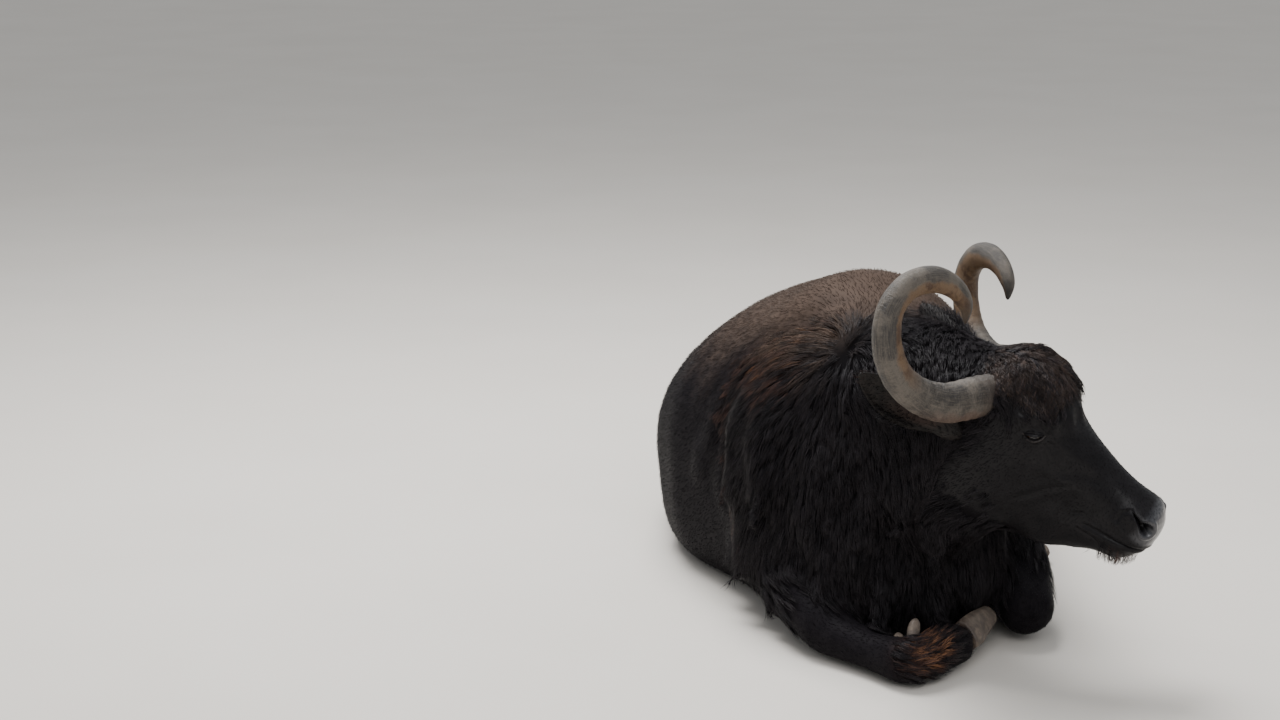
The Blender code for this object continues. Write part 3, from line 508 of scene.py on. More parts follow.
# %% Nostrils and lids
NOSTRIL = (0.418, 0.054, 0.005)
NOSTRIL_ALONG, NOSTRIL_OUT = 0.75, 0.66
NOSTRIL_FRONT, NOSTRIL_TAIL, NOSTRIL_HEIGHT = 0.0160, 0.038, 0.0145
NOSTRIL_DEPTH, NOSTRIL_RIM = 0.022, 0.0032
LID_THICKNESS, SLIT_DEPTH = 0.0034, 0.0050
SLIT_HALF, SLIT_OPEN, SLIT_SLANT = 0.0275, 0.0038, math.radians(-30)


def open_nostrils(mesh):
    """Presses the two commas into the muzzle and raises their wings. Says where they are open."""
    points, outward = points_of(mesh), normals_of(mesh)
    places = along_head(points)
    forwards, sideways = places[:, 0], abs(places[:, 1])
    along = (forwards - NOSTRIL[0]) * NOSTRIL_ALONG - (sideways - NOSTRIL[1]) * NOSTRIL_OUT
    bow = places[:, 2] - NOSTRIL[2] - 0.15 * np.clip(-along, 0, 1) - 9 * np.clip(-along - 0.006, 0, 1) ** 2
    width = np.where(along > 0, NOSTRIL_FRONT, NOSTRIL_TAIL)
    height = NOSTRIL_HEIGHT * (1 - 0.60 * smooth_step(-along, 0.006, 0.028))
    inside = (along / width) ** 2 + (bow / height) ** 2
    beside = sideways > 0.018
    opened = (1 - smooth_step(inside, 0.30, 1.10)) * (forwards > 0.36) * beside
    rim = NOSTRIL_RIM * ridge(inside - 1.9, 0.8) * smooth_step(forwards, 0.395, 0.420) * beside
    inward = -outward + np.array(-to_nose) * 0.3
    points += inward * (NOSTRIL_DEPTH * opened)[:, None] + outward * rim[:, None]
    move_points(mesh, points)
    return opened


def eye_space(places):
    """Places from the eyeball's middle, and how far along the slit of the eye and above it they are."""
    gap = np.column_stack((places[:, 0], abs(places[:, 1]), places[:, 2])) - np.array(EYE_PLACE)
    cosine, sine = math.cos(SLIT_SLANT), math.sin(SLIT_SLANT)
    return gap, gap[:, 0] * cosine - gap[:, 2] * sine, gap[:, 0] * sine + gap[:, 2] * cosine


def lay_lids(mesh):
    """Lays the skin over the eyeballs, parts it at the slit and folds the lids.

    Says how deep in the slit each place is, and how near the rim of the lower lid.
    """
    points = points_of(mesh)
    places = along_head(points)
    gap, across, up = eye_space(places)
    outer = (gap[:, 1] > -0.012) & (np.hypot(across, up) < 0.06)
    over = (1 - smooth_step(np.hypot(across * 0.82, up), 0.017, 0.034)) * outer
    bend = (across / SLIT_HALF) ** 2
    line = up + 0.0040 - 0.0075 * bend
    edge = abs(line) - SLIT_OPEN * np.clip(1 - bend, 0, 1)
    slit = (1 - smooth_step(edge, -0.0012, 0.0006)) * (abs(across) < SLIT_HALF) * outer
    rim = ridge(edge - 0.0016, 0.0016) * (abs(across) < SLIT_HALF * 1.06) * outer
    upper = ridge(line - 0.0120 + 0.010 * bend, 0.0015) * outer
    upper += 0.7 * ridge(line - 0.0180 + 0.013 * bend, 0.0015) * outer
    lower = ridge(line + 0.0110 - 0.004 * bend, 0.0018) * outer
    middle = (abs(across) < 0.030) * outer
    bag, hood = ridge(line + 0.0075, 0.0040) * middle, ridge(line - 0.0075, 0.0045) * middle
    wanted = EYE_RADIUS + LID_THICKNESS + 0.0020 * rim + 0.0020 * bag + 0.0030 * hood
    wanted = wanted - 0.0026 * upper - 0.0022 * lower
    wanted = wanted * (1 - slit) + (EYE_RADIUS - SLIT_DEPTH) * slit
    change = (wanted / np.maximum(np.linalg.norm(gap, axis=1), 1e-6) - 1) * np.maximum(over, slit)
    gap[:, 1] *= np.sign(places[:, 1])
    points += (gap * change[:, None]) @ np.array(head_place.to_3x3()).T
    move_points(mesh, points)
    return slit, rim * (line < 0)


nostril = open_nostrils(skin.data)
slit, rim_of_lids = lay_lids(skin.data)
print("slit places", int((slit > 0.5).sum()), "nostril places", int((nostril > 0.5).sum()))

# %% [markdown]
# An unwrap of the skin gives every tuft a place in one picture, where its colour can later be baked.
# Smart projection cuts the skin into flat islands by itself, which is all that this needs.

# %% Unwrapping the skin


def unwrap(piece):
    """Cuts and flattens a piece into its bake map."""
    piece.data.uv_layers.new(name="OFBake")
    bpy.context.view_layer.objects.active = piece
    piece.select_set(True)
    bpy.ops.object.mode_set(mode="EDIT")
    bpy.ops.mesh.select_all(action="SELECT")
    bpy.ops.uv.smart_project(angle_limit=math.radians(60), island_margin=0.002)
    bpy.ops.object.mode_set(mode="OBJECT")
    piece.select_set(False)


unwrap(skin)
skin.data.shade_smooth()
print("unwrapped", skin.data.uv_layers.active.name)

# %% [markdown]
# A buffalo's horn is a hollow sheath of keratin that grows from its base, so its rings are closest near
# the head and it narrows to a smooth tip. It leaves the poll sideways and back, and curls up and over.
# Circles are set along the curl and bridged into one skin. Three numbers are kept on every place: how
# far along the horn it is, how far it faces the heart of the curl, and on which flat side it lies. The
# material draws rings and stains from them.

# %% Horns
HORN_CURL = (  # outwards, upwards, and the share of the full radius
    (-0.078, -0.012, 0.80), (-0.030, -0.004, 0.92), (0.036, 0.005, 0.93), (0.111, 0.017, 0.88),
    (0.178, 0.054, 0.79), (0.227, 0.110, 0.72), (0.246, 0.183, 0.69), (0.229, 0.252, 0.64),
    (0.177, 0.289, 0.62), (0.111, 0.287, 0.60), (0.058, 0.255, 0.50), (0.031, 0.210, 0.36),
    (0.036, 0.170, 0.09),
)
HORN_HEART = (0.125, 0.160)
HORN_ROOT = Vector((-0.017, 0.088, 0.030))
HORN_FLARE = {-1: math.radians(51), 1: math.radians(50)}
HORN_LEAN = {-1: math.radians(-9), 1: math.radians(-15)}
HORN_SIZE = {-1: 1.0, 1: 0.861}
HORN_BEND = {-1: (0.0, 0.0), 1: (0.136, -0.090)}
HORN_RADIUS, HORN_FLATNESS, HORN_POINT = 0.047, 0.84, 0.55
HORN_RINGS, HORN_SPOKES = 150, 36


def smooth_path(points, steps):
    """Rows of numbers with a soft curve passed through them."""
    rows = [np.array(row, float) for row in points]
    rows = [rows[0] * 2 - rows[1]] + rows + [rows[-1] * 2 - rows[-2]]
    path = []
    for before, start, end, after in zip(rows, rows[1:], rows[2:], rows[3:]):
        for step in range(steps):
            t = step / steps
            bend = 2 * before - 5 * start + 4 * end - after
            twist = 3 * start - before - 3 * end + after
            path.append(0.5 * (2 * start + (end - before) * t + bend * t ** 2 + twist * t ** 3))
    return path + [rows[-2]]


def add_circle(bm, middle, first, second, spokes):
    """A ring of places round a middle."""
    turn = Matrix((first, second, first.cross(second))).transposed().to_4x4()
    turn.translation = middle
    return bmesh.ops.create_circle(bm, cap_ends=False, radius=1.0, segments=spokes, matrix=turn)["verts"]


def bridged(bm, circles):
    """Joins neighbouring rings and closes the two ends."""
    rims = [list({edge for vert in circle for edge in vert.link_edges}) for circle in circles]
    for lower, upper in zip(rims, rims[1:]):
        bmesh.ops.bridge_loops(bm, edges=lower + upper)
    for circle in (circles[0], circles[-1]):
        bmesh.ops.contextual_create(bm, geom=circle)
    bmesh.ops.recalc_face_normals(bm, faces=bm.faces)


def keep(mesh, name, values):
    """Keeps a number on each place of a mesh."""
    layer = mesh.attributes.new(name, "FLOAT", "POINT")
    layer.data.foreach_set("value", np.asarray(values, np.float32))


def horn_axes(side):
    """Where a horn starts, and the ways outwards, upwards and across its curl."""
    level = Vector((to_nose.x, to_nose.y, 0)).normalized()
    left = Vector((-level.y, level.x, 0))
    flare, lean = HORN_FLARE[side], HORN_LEAN[side]
    outward = (-level * math.cos(flare) + left * (side * math.sin(flare))).normalized()
    outward = (outward * math.cos(lean) + Vector((0, 0, math.sin(lean)))).normalized()
    upward = (Vector((0, 0, 1)) - outward * outward.z).normalized()
    base = on_head(HORN_ROOT.x, HORN_ROOT.y * side, HORN_ROOT.z)
    return base, outward, upward, outward.cross(upward).normalized()


def horn_spots(side, shares):
    """Evenly spaced rows along the curl: outwards, upwards, the share of the radius, and across."""
    path = np.array(smooth_path(HORN_CURL, 40))
    steps = np.linspace(0, 1, len(path))
    path = np.column_stack((path, HORN_BEND[side][0] * steps + HORN_BEND[side][1] * steps ** 2))
    run = np.concatenate(([0], np.cumsum(np.linalg.norm(np.diff(path[:, :2], axis=0), axis=1))))
    return np.column_stack([np.interp(shares * run[-1], run, column) for column in path.T])


def build_horn(side_name, side):
    """One horn with its growth rings, and the numbers that its material reads."""
    base, outward, upward, flat = horn_axes(side)
    shares = np.linspace(0, 1, HORN_RINGS)
    spots = horn_spots(side, shares)
    middles = [base + (outward * s[0] + upward * s[1] + flat * s[3]) * HORN_SIZE[side] for s in spots]
    chance = random.Random(5 + side)
    # one number for each ring and one for each of its places, of which the ridge takes the ring's
    draws = [chance.random() for _ in range(HORN_RINGS * (HORN_SPOKES + 1))]
    bm = bmesh.new()
    circles = []
    for k, (spot, share) in enumerate(zip(spots, shares)):
        ahead = (middles[min(k + 1, HORN_RINGS - 1)] - middles[max(k - 1, 0)]).normalized()
        thick = flat.cross(ahead).normalized()
        wave = 0.5 + 0.5 * math.sin(share ** 0.8 * 150 + 1.5 * math.sin(share * 40))
        radius = HORN_RADIUS * spot[2]
        radius += (1 - share) ** 1.2 * (0.0016 * wave + 0.0006 * draws[k * (HORN_SPOKES + 1)])
        if k == HORN_RINGS - 1:
            radius *= HORN_POINT
        circles.append(add_circle(bm, middles[k], thick * radius, flat * radius * HORN_FLATNESS, HORN_SPOKES))
    bridged(bm, circles)
    mesh = bpy.data.meshes.new("horn_skin_" + side_name)
    bm.to_mesh(mesh)
    bm.free()
    mesh.shade_smooth()
    heart = np.array(base + (outward * HORN_HEART[0] + upward * HORN_HEART[1]) * HORN_SIZE[side])
    middles = np.repeat(np.array(middles), HORN_SPOKES, axis=0)
    away, facing = normal_of(points_of(mesh) - middles), normal_of(heart - middles)
    keep(mesh, "along", np.repeat(shares, HORN_SPOKES))
    keep(mesh, "inner", (away * facing).sum(axis=1) * 0.5 + 0.5)
    keep(mesh, "flat", (away @ np.array(flat)) * 0.5 + 0.5)
    return linked("horn_skin_" + side_name, mesh)


horns = {side_name: build_horn(side_name, side) for side_name, side in SIDES}
print("horn faces", len(horns["right"].data.polygons))

# %% [markdown]
# The horn is dark grey-brown keratin, paler where it has been rubbed, with fine lines along it, darker
# grooves between the growth rings, brown stain on the inner side of the curl, and a scuffed pinkish patch
# low near the base. Masks for these are made from the three kept numbers and soft noise and then mixed.

# %% Horn material
HORN_TONES = {
    "dark": (0.018, 0.016, 0.015), "worn": (0.092, 0.078, 0.064), "pale streak": (0.118, 0.098, 0.078),
    "dark streak": (0.024, 0.021, 0.019), "groove": (0.018, 0.015, 0.013), "stain": (0.140, 0.080, 0.038),
    "burnt": (0.045, 0.020, 0.009), "pink": (0.095, 0.052, 0.036), "scratch": (0.190, 0.165, 0.135),
    "tip": (0.020, 0.018, 0.017), "root": (0.032, 0.022, 0.017),
}


def horn_material():
    """Worn keratin with rings, streaks and stains."""
    g = Graph("horn_keratin", Specular_IOR_Level=0.35)
    along, inner, flat = g.read("along"), g.read("inner"), g.read("flat")
    round_it = g.node("ShaderNodeCombineXYZ", {}, {"X": along * 9.0, "Y": inner * 1.4, "Z": flat * 1.4})
    streaks = g.noise(9.0, 4.0, 0.6, g.stretched(0.22, 6.0, 6.0, round_it))
    rings = g.noise(24.0, 3.0, 0.6, g.stretched(1.6, 0.25, 0.25, round_it))
    blotch = g.noise(14.0, 5.0, 0.68)
    fine = g.noise(190.0, 3.0, 0.7)
    stain = g.level(inner + (blotch - 0.5) * 0.9, 0.42, 0.64) * g.level(along, 0.36, 0.50)
    under = g.level(1 - inner + (blotch - 0.5) * 0.8, 0.66, 0.92) * g.level(along, 0.38, 0.22)
    scratch = g.level(g.noise(30.0, 5.0, 0.75, g.stretched(0.4, 4.0, 4.0, round_it)), 0.55, 0.66)
    base = g.mix(g.level(blotch, 0.42, 0.58), HORN_TONES["dark"], HORN_TONES["worn"])
    for share, tone in (
            (g.level(streaks, 0.45, 0.62) * 0.70, "pale streak"),
            (g.level(streaks, 0.45, 0.30) * 0.60, "dark streak"),
            (g.level(rings, 0.50, 0.36) * (1 - along) * 0.75, "groove"),
            (stain * 0.80, "stain"),
            (stain * g.level(g.noise(26.0, 3.0, 0.6), 0.48, 0.62) * 0.85, "burnt"),
            (under * 0.55, "pink"),
            (scratch * 0.50, "scratch"),
            (g.level(along, 0.90, 1.0) * 0.75, "tip"),
            (g.level(along, 0.17, 0.11) * 0.6, "root")):
        base = g.mix(share, base, HORN_TONES[tone])
    height = rings * 1.2 + streaks * 0.5 + fine * 0.12
    rough = 0.34 + blotch * 0.25 + scratch * 0.12
    return g.feed(Base_Color=base, Roughness=rough, Normal=g.bump(height, 0.80, 0.0026))


keratin = horn_material()
for side_name, side in SIDES:
    horns[side_name].data.materials.append(keratin)
    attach(horns[side_name], "root")
    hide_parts("horn_" + side_name)
print("horn material ready")

# %% [markdown]
# An ear is a leaf of gristle that starts as a round stalk and opens into a hollow cup. Its rings come
# from one table of widths and depths: the back half of each ring is round, and the front half is pushed
# in by the hollowness to make the cup. Bridging the rings gives a closed ear with a thin rim.

# %% Ears
EAR_ROOT = Vector((-0.020, 0.100, -0.075))
EAR_TIP = Vector((-0.245, 0.235, -0.045))
EAR_SHAPE = (  # the share of the way to the tip, half the width, the depth, how hollow, and the bow
    (-0.06, 0.026, 0.026, 0.00, 0.000), (0.05, 0.030, 0.028, 0.00, 0.000), (0.14, 0.040, 0.030, 0.35, 0.000),
    (0.30, 0.056, 0.032, 0.72, 0.004), (0.50, 0.062, 0.028, 0.78, 0.006), (0.70, 0.052, 0.022, 0.76, 0.004),
    (0.87, 0.032, 0.015, 0.70, 0.000), (0.97, 0.014, 0.008, 0.45, -0.004), (1.00, 0.006, 0.004, 0.00, -0.006),
)
EAR_SPOKES = 40


def ear_frame(side):
    """The ear's root, its reach, the way to its tip, the way its cup opens, and across."""
    root = on_head(EAR_ROOT.x, EAR_ROOT.y * side, EAR_ROOT.z)
    tip = on_head(EAR_TIP.x, EAR_TIP.y * side, EAR_TIP.z)
    along = (tip - root).normalized()
    opening = to_nose * 0.75 - to_brow * 0.25 + to_left * (side * 0.5)
    opening = (opening - along * opening.dot(along)).normalized()
    return root, (tip - root).length, along, opening, along.cross(opening).normalized()


def build_ear(side_name, side):
    """One ear, with how deep in the cup and how far along each place lies kept on it."""
    root, reach, along, opening, across = ear_frame(side)
    bm = bmesh.new()
    circles, cup, shares = [], [], []
    for t, half, deep, wall, bow in smooth_path(EAR_SHAPE, 5):
        middle = root + along * (reach * t) + opening * bow
        hollow = max(wall, 0)
        circle = add_circle(bm, middle, across, opening, EAR_SPOKES)
        for vert in circle:
            offset = vert.co - middle
            sideways, front = offset.dot(across), offset.dot(opening)
            if front > 0.001:
                narrowed = 1 - 0.10 * min(1.0, hollow * 2)
                depth = -deep * (hollow * 1.75 - 0.75) * front
                vert.co = middle + across * (half * narrowed * sideways) + opening * depth
            else:
                vert.co = middle + across * (half * sideways) + opening * (deep * front)
            cup.append(max(0.0, front) * min(1.0, hollow * 1.5))
            shares.append(t)
        circles.append(circle)
    bridged(bm, circles)
    mesh = bpy.data.meshes.new("ear_skin_" + side_name)
    bm.to_mesh(mesh)
    bm.free()
    keep(mesh, "cup", cup)
    keep(mesh, "along", shares)
    mesh.shade_smooth()
    return linked("ear_skin_" + side_name, mesh)


ears = {side_name: build_ear(side_name, side) for side_name, side in SIDES}
EAR_DARK, EAR_WORN, EAR_FLESH = (0.0050, 0.0042, 0.0040), (0.013, 0.010, 0.009), (0.040, 0.020, 0.015)


def ear_material():
    """Dark hide outside, reddish bare skin at the root of the cup."""
    g = Graph("ear_hide", Roughness=0.62, Specular_IOR_Level=0.2)
    mottle = g.noise(45.0, 4.0, 0.6)
    base = g.mix(g.level(mottle, 0.35, 0.65), EAR_DARK, EAR_WORN)
    flesh = g.level(g.read("cup"), 0.35, 0.75) * g.level(g.read("along"), 0.75, 0.30)
    base = g.mix(flesh * 0.45, base, EAR_FLESH)
    creases = g.noise(60.0, 3.0, 0.6, g.stretched(1.0, 1.0, 3.0))
    return g.feed(Base_Color=base, Normal=g.bump(creases + mottle, 0.5, 0.002))


hide_of_ear = ear_material()
for side_name, side in SIDES:
    ears[side_name].data.materials.append(hide_of_ear)
    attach(ears[side_name], "root")
    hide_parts("ear_" + side_name)
print("ears ready")

# %% [markdown]
# Each foot has two claws of dark horn with a worn toe, and two dewclaws behind. The solids hold their
# shape, so a copy is remeshed finely, smoothed and given growth lines that run round the claw, level
# with the coronet. All claws share one material, which is darkest under the coronet and dusty below.

# %% Hooves and dewclaws
HOOF_VOXEL, HOOF_SWELL, HOOF_ROUNDS = 0.0028, 0.0003, 6
HOOVES = [name for name in sorted(nodes) if "claw" in name]
hooves = soft_copy("hooves", HOOVES, HOOF_VOXEL, HOOF_SWELL, HOOF_ROUNDS)
hooves.data.shade_smooth()


def crown_share(mesh):
    """0 at the coronet of each claw and 1 at its toe."""
    points = points_of(mesh)
    share = np.zeros(len(points))
    corners = {name: points_of(nodes[name].data) for name in HOOVES}
    tags = [name for name in HOOVES for _ in corners[name]]
    owner = KDTree(len(tags))
    for number, corner in enumerate(np.concatenate(list(corners.values()))):
        owner.insert(corner, number)
    owner.balance()
    names = np.array([tags[owner.find(point)[1]] for point in points])
    for name, own in corners.items():
        foot = points_of(nodes[name.rsplit("_", 2)[0] + "_foot"].data).mean(axis=0)
        start = own[np.argsort(np.linalg.norm(own - foot, axis=1))[:4]].mean(axis=0)
        way = normal_of(own.mean(axis=0) - start)
        chosen = names == name
        share[chosen] = (points[chosen] - start) @ way / max((own - start) @ way)
    return np.clip(share, 0, 1)


keep(hooves.data, "crown", crown_share(hooves.data))


HOOF_TONES = {
    "dark": (0.050, 0.037, 0.029), "worn": (0.125, 0.094, 0.071), "ring": (0.060, 0.043, 0.032),
    "coronet": (0.050, 0.032, 0.024), "dust": (0.200, 0.155, 0.112),
}


def hoof_material():
    """Dull horn with rings round the claw, darker at the coronet and dusty in patches."""
    g = Graph("hoof_horn", Coat_Weight=0.05)
    crown = g.read("crown")
    rings = g.noise(16.0, 3.0, 0.6, g.node("ShaderNodeCombineXYZ", {}, {"X": crown * 3.0}))
    blotch = g.noise(35.0, 4.0, 0.6)
    base = g.mix(g.level(blotch, 0.3, 0.7), HOOF_TONES["dark"], HOOF_TONES["worn"])
    base = g.mix(g.level(rings, 0.55, 0.38) * 0.6, base, HOOF_TONES["ring"])
    base = g.mix(g.level(crown, 0.20, 0.02) * 0.75, base, HOOF_TONES["coronet"])
    base = g.mix(g.level(g.noise(70.0, 4.0, 0.7), 0.50, 0.66) * 0.30, base, HOOF_TONES["dust"])
    rough = 0.52 + blotch * 0.25
    return g.feed(Base_Color=base, Roughness=rough, Normal=g.bump(rings * 1.4 + blotch * 0.4, 0.6, 0.0015))


hooves.data.materials.clear()
hooves.data.materials.append(hoof_material())
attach(hooves, "root")
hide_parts(*HOOVES)
print("hoof faces", len(hooves.data.polygons))

# %% [markdown]
# The eye is nearly shut, so only a dark wet strip of it shows between the lids. It is a smooth ball of
# the solid's size, dark brown at the iris with a wide dull pupil, and very glossy.

# %% Eyes
EYE_TONES = {
    "white": (0.10, 0.075, 0.060), "iris": (0.030, 0.014, 0.007), "grain": (0.055, 0.028, 0.012),
    "pupil": (0.003, 0.003, 0.004),
}


def eye_material():
    """Wet brown eye with a dark pupil."""
    g = Graph("wet_eye", Roughness=0.08, Coat_Weight=1.0, Coat_Roughness=0.03)
    facing = g.read("iris")
    base = g.mix(g.level(facing, 0.55, 0.70), EYE_TONES["white"], EYE_TONES["iris"])
    base = g.mix(g.level(g.noise(300.0, 3.0, 0.6), 0.4, 0.7) * 0.4, base, EYE_TONES["grain"])
    base = g.mix(g.level(facing, 0.90, 0.94), base, EYE_TONES["pupil"])
    return g.feed(Base_Color=base)


wet_eye = eye_material()
for side_name, side in SIDES:
    bm = bmesh.new()
    centre = on_head(EYE_PLACE.x, EYE_PLACE.y * side, EYE_PLACE.z)
    bmesh.ops.create_uvsphere(bm, u_segments=40, v_segments=24, radius=EYE_RADIUS,
                              matrix=Matrix.Translation(centre))
    mesh = bpy.data.meshes.new("eyeball_" + side_name)
    bm.to_mesh(mesh)
    bm.free()
    look = (to_left * side + to_nose * 0.25 - to_brow * 0.05).normalized()
    keep(mesh, "iris", (points_of(mesh) - np.array(centre)) @ np.array(look) / EYE_RADIUS)
    mesh.materials.append(wet_eye)
    mesh.shade_smooth()
    eye = linked("eyeball_" + side_name, mesh)
    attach(eye, "root")
    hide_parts("eye_" + side_name)
print("eyes ready")

# %% [markdown]
# The coat has a plan before it has a single hair. Behind a line that runs down each side the hair is
# short, black on the flank and grey-brown with dust over the back. In front of it the hair is long and
# black, and turns red-brown behind a whorl high on the shoulder and along the line itself. These markings
# are worked out from places on the body by one function, which the skin and every tuft share, so that
# they agree wherever the tufts part.

# %% Markings of the coat
WHORL = np.array((0.165, 0.105, 0.665))
LINE_HEIGHTS = (0.05, 0.15, 0.30, 0.45, 0.58, 0.67, 0.74)
LINE_DEPTHS = (0.20, 0.25, 0.345, 0.440, 0.440, 0.320, 0.140)
FEATHER_SPOTS = ((-0.075, -0.242, 0.075), (-0.030, -0.205, 0.090), (0.552, 1.075, 0.085))
CORONET_SPOTS = ((0.078, -0.118, 0.078), (0.088, -0.120, 0.045))


def long_edge(spots):
    """How far back the long coat reaches at each height, from the chest."""
    return np.interp(spots[:, 2], LINE_HEIGHTS, LINE_DEPTHS)


def near(spots, centres, reach):
    """Soft hills round some places."""
    hills = sum(ridge(np.linalg.norm(spots - np.array(centre), axis=1), reach) for centre in centres)
    return np.clip(hills, 0, 1)


def mop_share(places):
    """1 where the forelock grows between the horns, from places along the head."""
    x, y, z = places.T
    slope = 0.25 * np.clip(x, 0, 1)
    return (smooth_step(x, -0.11, -0.06) * smooth_step(-x, -0.125, -0.085)
            * smooth_step(-abs(y), -0.105, -0.080) * smooth_step(z, 0.045 + slope, 0.070 + slope))


def chin_share(places):
    """1 on the chin and under the lower lip."""
    x, y, z = places.T
    below = smooth_step(-z, 0.060, 0.076) * (z > -0.155) * (abs(y) < 0.09)
    return smooth_step(x, 0.350, 0.420) * below * (x < 0.50)


def markings(points):
    """How red the coat is at each place, and how dusty, with painted sheen on the forelock."""
    spots, places = points - np.array(CHEST), along_head(points)
    off_face, mop = 1 - face_share(places), mop_share(places)
    depth, height, edge = spots[:, 1], spots[:, 2], long_edge(spots)
    behind = smooth_step(height, 0.46, 0.60) * smooth_step(depth, 0.10, 0.24)
    behind *= smooth_step(edge - depth, -0.14, 0.02)
    line = ridge(depth - edge + 0.010, 0.045) * smooth_step(height, 0.14, 0.26)
    line *= smooth_step(-height, -0.70, -0.60)
    red = np.maximum(0.58 * behind, 0.50 * line) * off_face
    for patch in (0.26 * mop, 0.62 * chin_share(places), near(spots, FEATHER_SPOTS, 0.048),
                  0.8 * near(spots, CORONET_SPOTS, 0.030)):
        red = np.maximum(red, patch)
    back = smooth_step(depth, edge - 0.06, edge + 0.14)
    dust = back * (0.04 + 0.90 * smooth_step(height, 0.34, 0.80)) * off_face
    shoulder = 0.66 * smooth_step(height, 0.53, 0.70) * smooth_step(depth, 0.04, 0.20) * off_face
    # The forelock's share is painted sheen: it lightens the forelock with the dusty colour.
    return red, np.maximum(np.maximum(dust, shoulder), 0.36 * mop)


red, dust = markings(points_of(skin.data))
print("red places", int((red > 0.4).sum()), "dusty places", int((dust > 0.4).sum()))

# %% [markdown]
# The lie of the coat is a direction on every place of the skin. On the legs hair points down the limb,
# so the long axis of each solid gives it. On the trunk it falls and sweeps back, and near the whorl it
# turns outwards from it. On the face it runs down the nose and back over the cheeks. Averaging the
# directions over neighbours turns one region smoothly into the next.

# %% Lie of the coat
WHORL_REACH = 0.34
SWITCH_WAY = np.array((0.93, -0.36, 0.0))
NEXT_SEGMENT = {"thigh": "shank", "shank": "cannon", "forearm": "cannon", "cannon": "foot", "foot": "claw_1"}


def limb_way(name):
    """The long axis of a segment, towards the foot."""
    leg, segment = name.rsplit("_", 1)
    points = points_of(nodes[name].data)
    after = points_of(nodes[leg + "_" + NEXT_SEGMENT[segment]].data).mean(axis=0)
    axis = np.linalg.svd(points - points.mean(axis=0), full_matrices=False)[2][0]
    return axis * np.sign(axis @ (after - points.mean(axis=0)))


def trunk_way(spots):
    """Down and back, and outwards from the whorl on each shoulder."""
    sides = np.sign(spots[:, 0])
    whorls = np.tile(WHORL, (len(spots), 1))
    whorls[:, 0] *= sides
    away = spots - whorls
    reach = np.linalg.norm(away, axis=1, keepdims=True)
    behind = smooth_step(spots[:, 1], long_edge(spots), long_edge(spots) + 0.15)
    back = np.clip((spots[:, 1] - 0.12) * 2.6, -0.30, 0.60) + 0.7 * behind
    way = normal_of(np.column_stack((sides * 0.12, back, -np.ones(len(spots)))))
    return way + away / np.maximum(reach, 1e-6) * 1.7 * np.clip(1 - reach / WHORL_REACH, 0, 1)


def head_way(places):
    """Down the nose, back over the cheeks and forwards off the poll, along the head's axes."""
    x, y, z = places.T
    top = smooth_step(z, 0.00, 0.05)
    way = np.tile((-0.55, 0.0, -1.0), (len(x), 1))
    parted = np.sign(y) * smooth_step(abs(y), 0.004, 0.030) * 1.5 * (1 - smooth_step(x, 0.10, 0.20))
    way += top[:, None] * np.column_stack((np.full(len(x), 1.9), parted, np.full(len(x), 0.6)))
    muzzle = smooth_step(x, 0.26, 0.36)[:, None]
    return way * (1 - muzzle) + muzzle * np.array((0.5, 0.0, -0.9))


def lie_of_coat(points, outward, owners, edges):
    """The direction of the hair at each place, along the skin."""
    spots, places = points - np.array(CHEST), along_head(points)
    ways = normal_of(trunk_way(spots))
    turn = np.array(head_place.to_3x3())
    on_skull = smooth_step(places[:, 0], -0.12, -0.05) * (owners == "head")
    ways = ways * (1 - on_skull)[:, None] + normal_of(head_way(places) @ turn.T) * on_skull[:, None]
    for name in FLESH:
        if "leg" in name:
            ways[owners == name] = limb_way(name)
    tail = owners == "tail"
    ways[tail] = np.where(spots[tail, 2:] > 0.08, np.array((0.0, 0.3, -1.0)), SWITCH_WAY)
    ways[owners == "tail_switch"] = SWITCH_WAY
    ways = averaged(ways, edges, EASE_ROUNDS)
    return normal_of(ways - outward * (ways * outward).sum(axis=1, keepdims=True))


owners = nearest_solid(points_of(skin.data))
lie = lie_of_coat(points_of(skin.data), normals_of(skin.data), owners, edges_of(skin.data))
print("lie of the coat on", len(lie), "places")

# %% [markdown]
# Hair is sown by area. A Ground lists the triangles of a skin once. Its scatter picks places on them, as
# many as a density asks for, and gives a way to read anything that is kept on the skin at each place.
# The ears will use it too. Walking through the area in even steps keeps tufts from crowding by chance.

# %% Ground for the hair


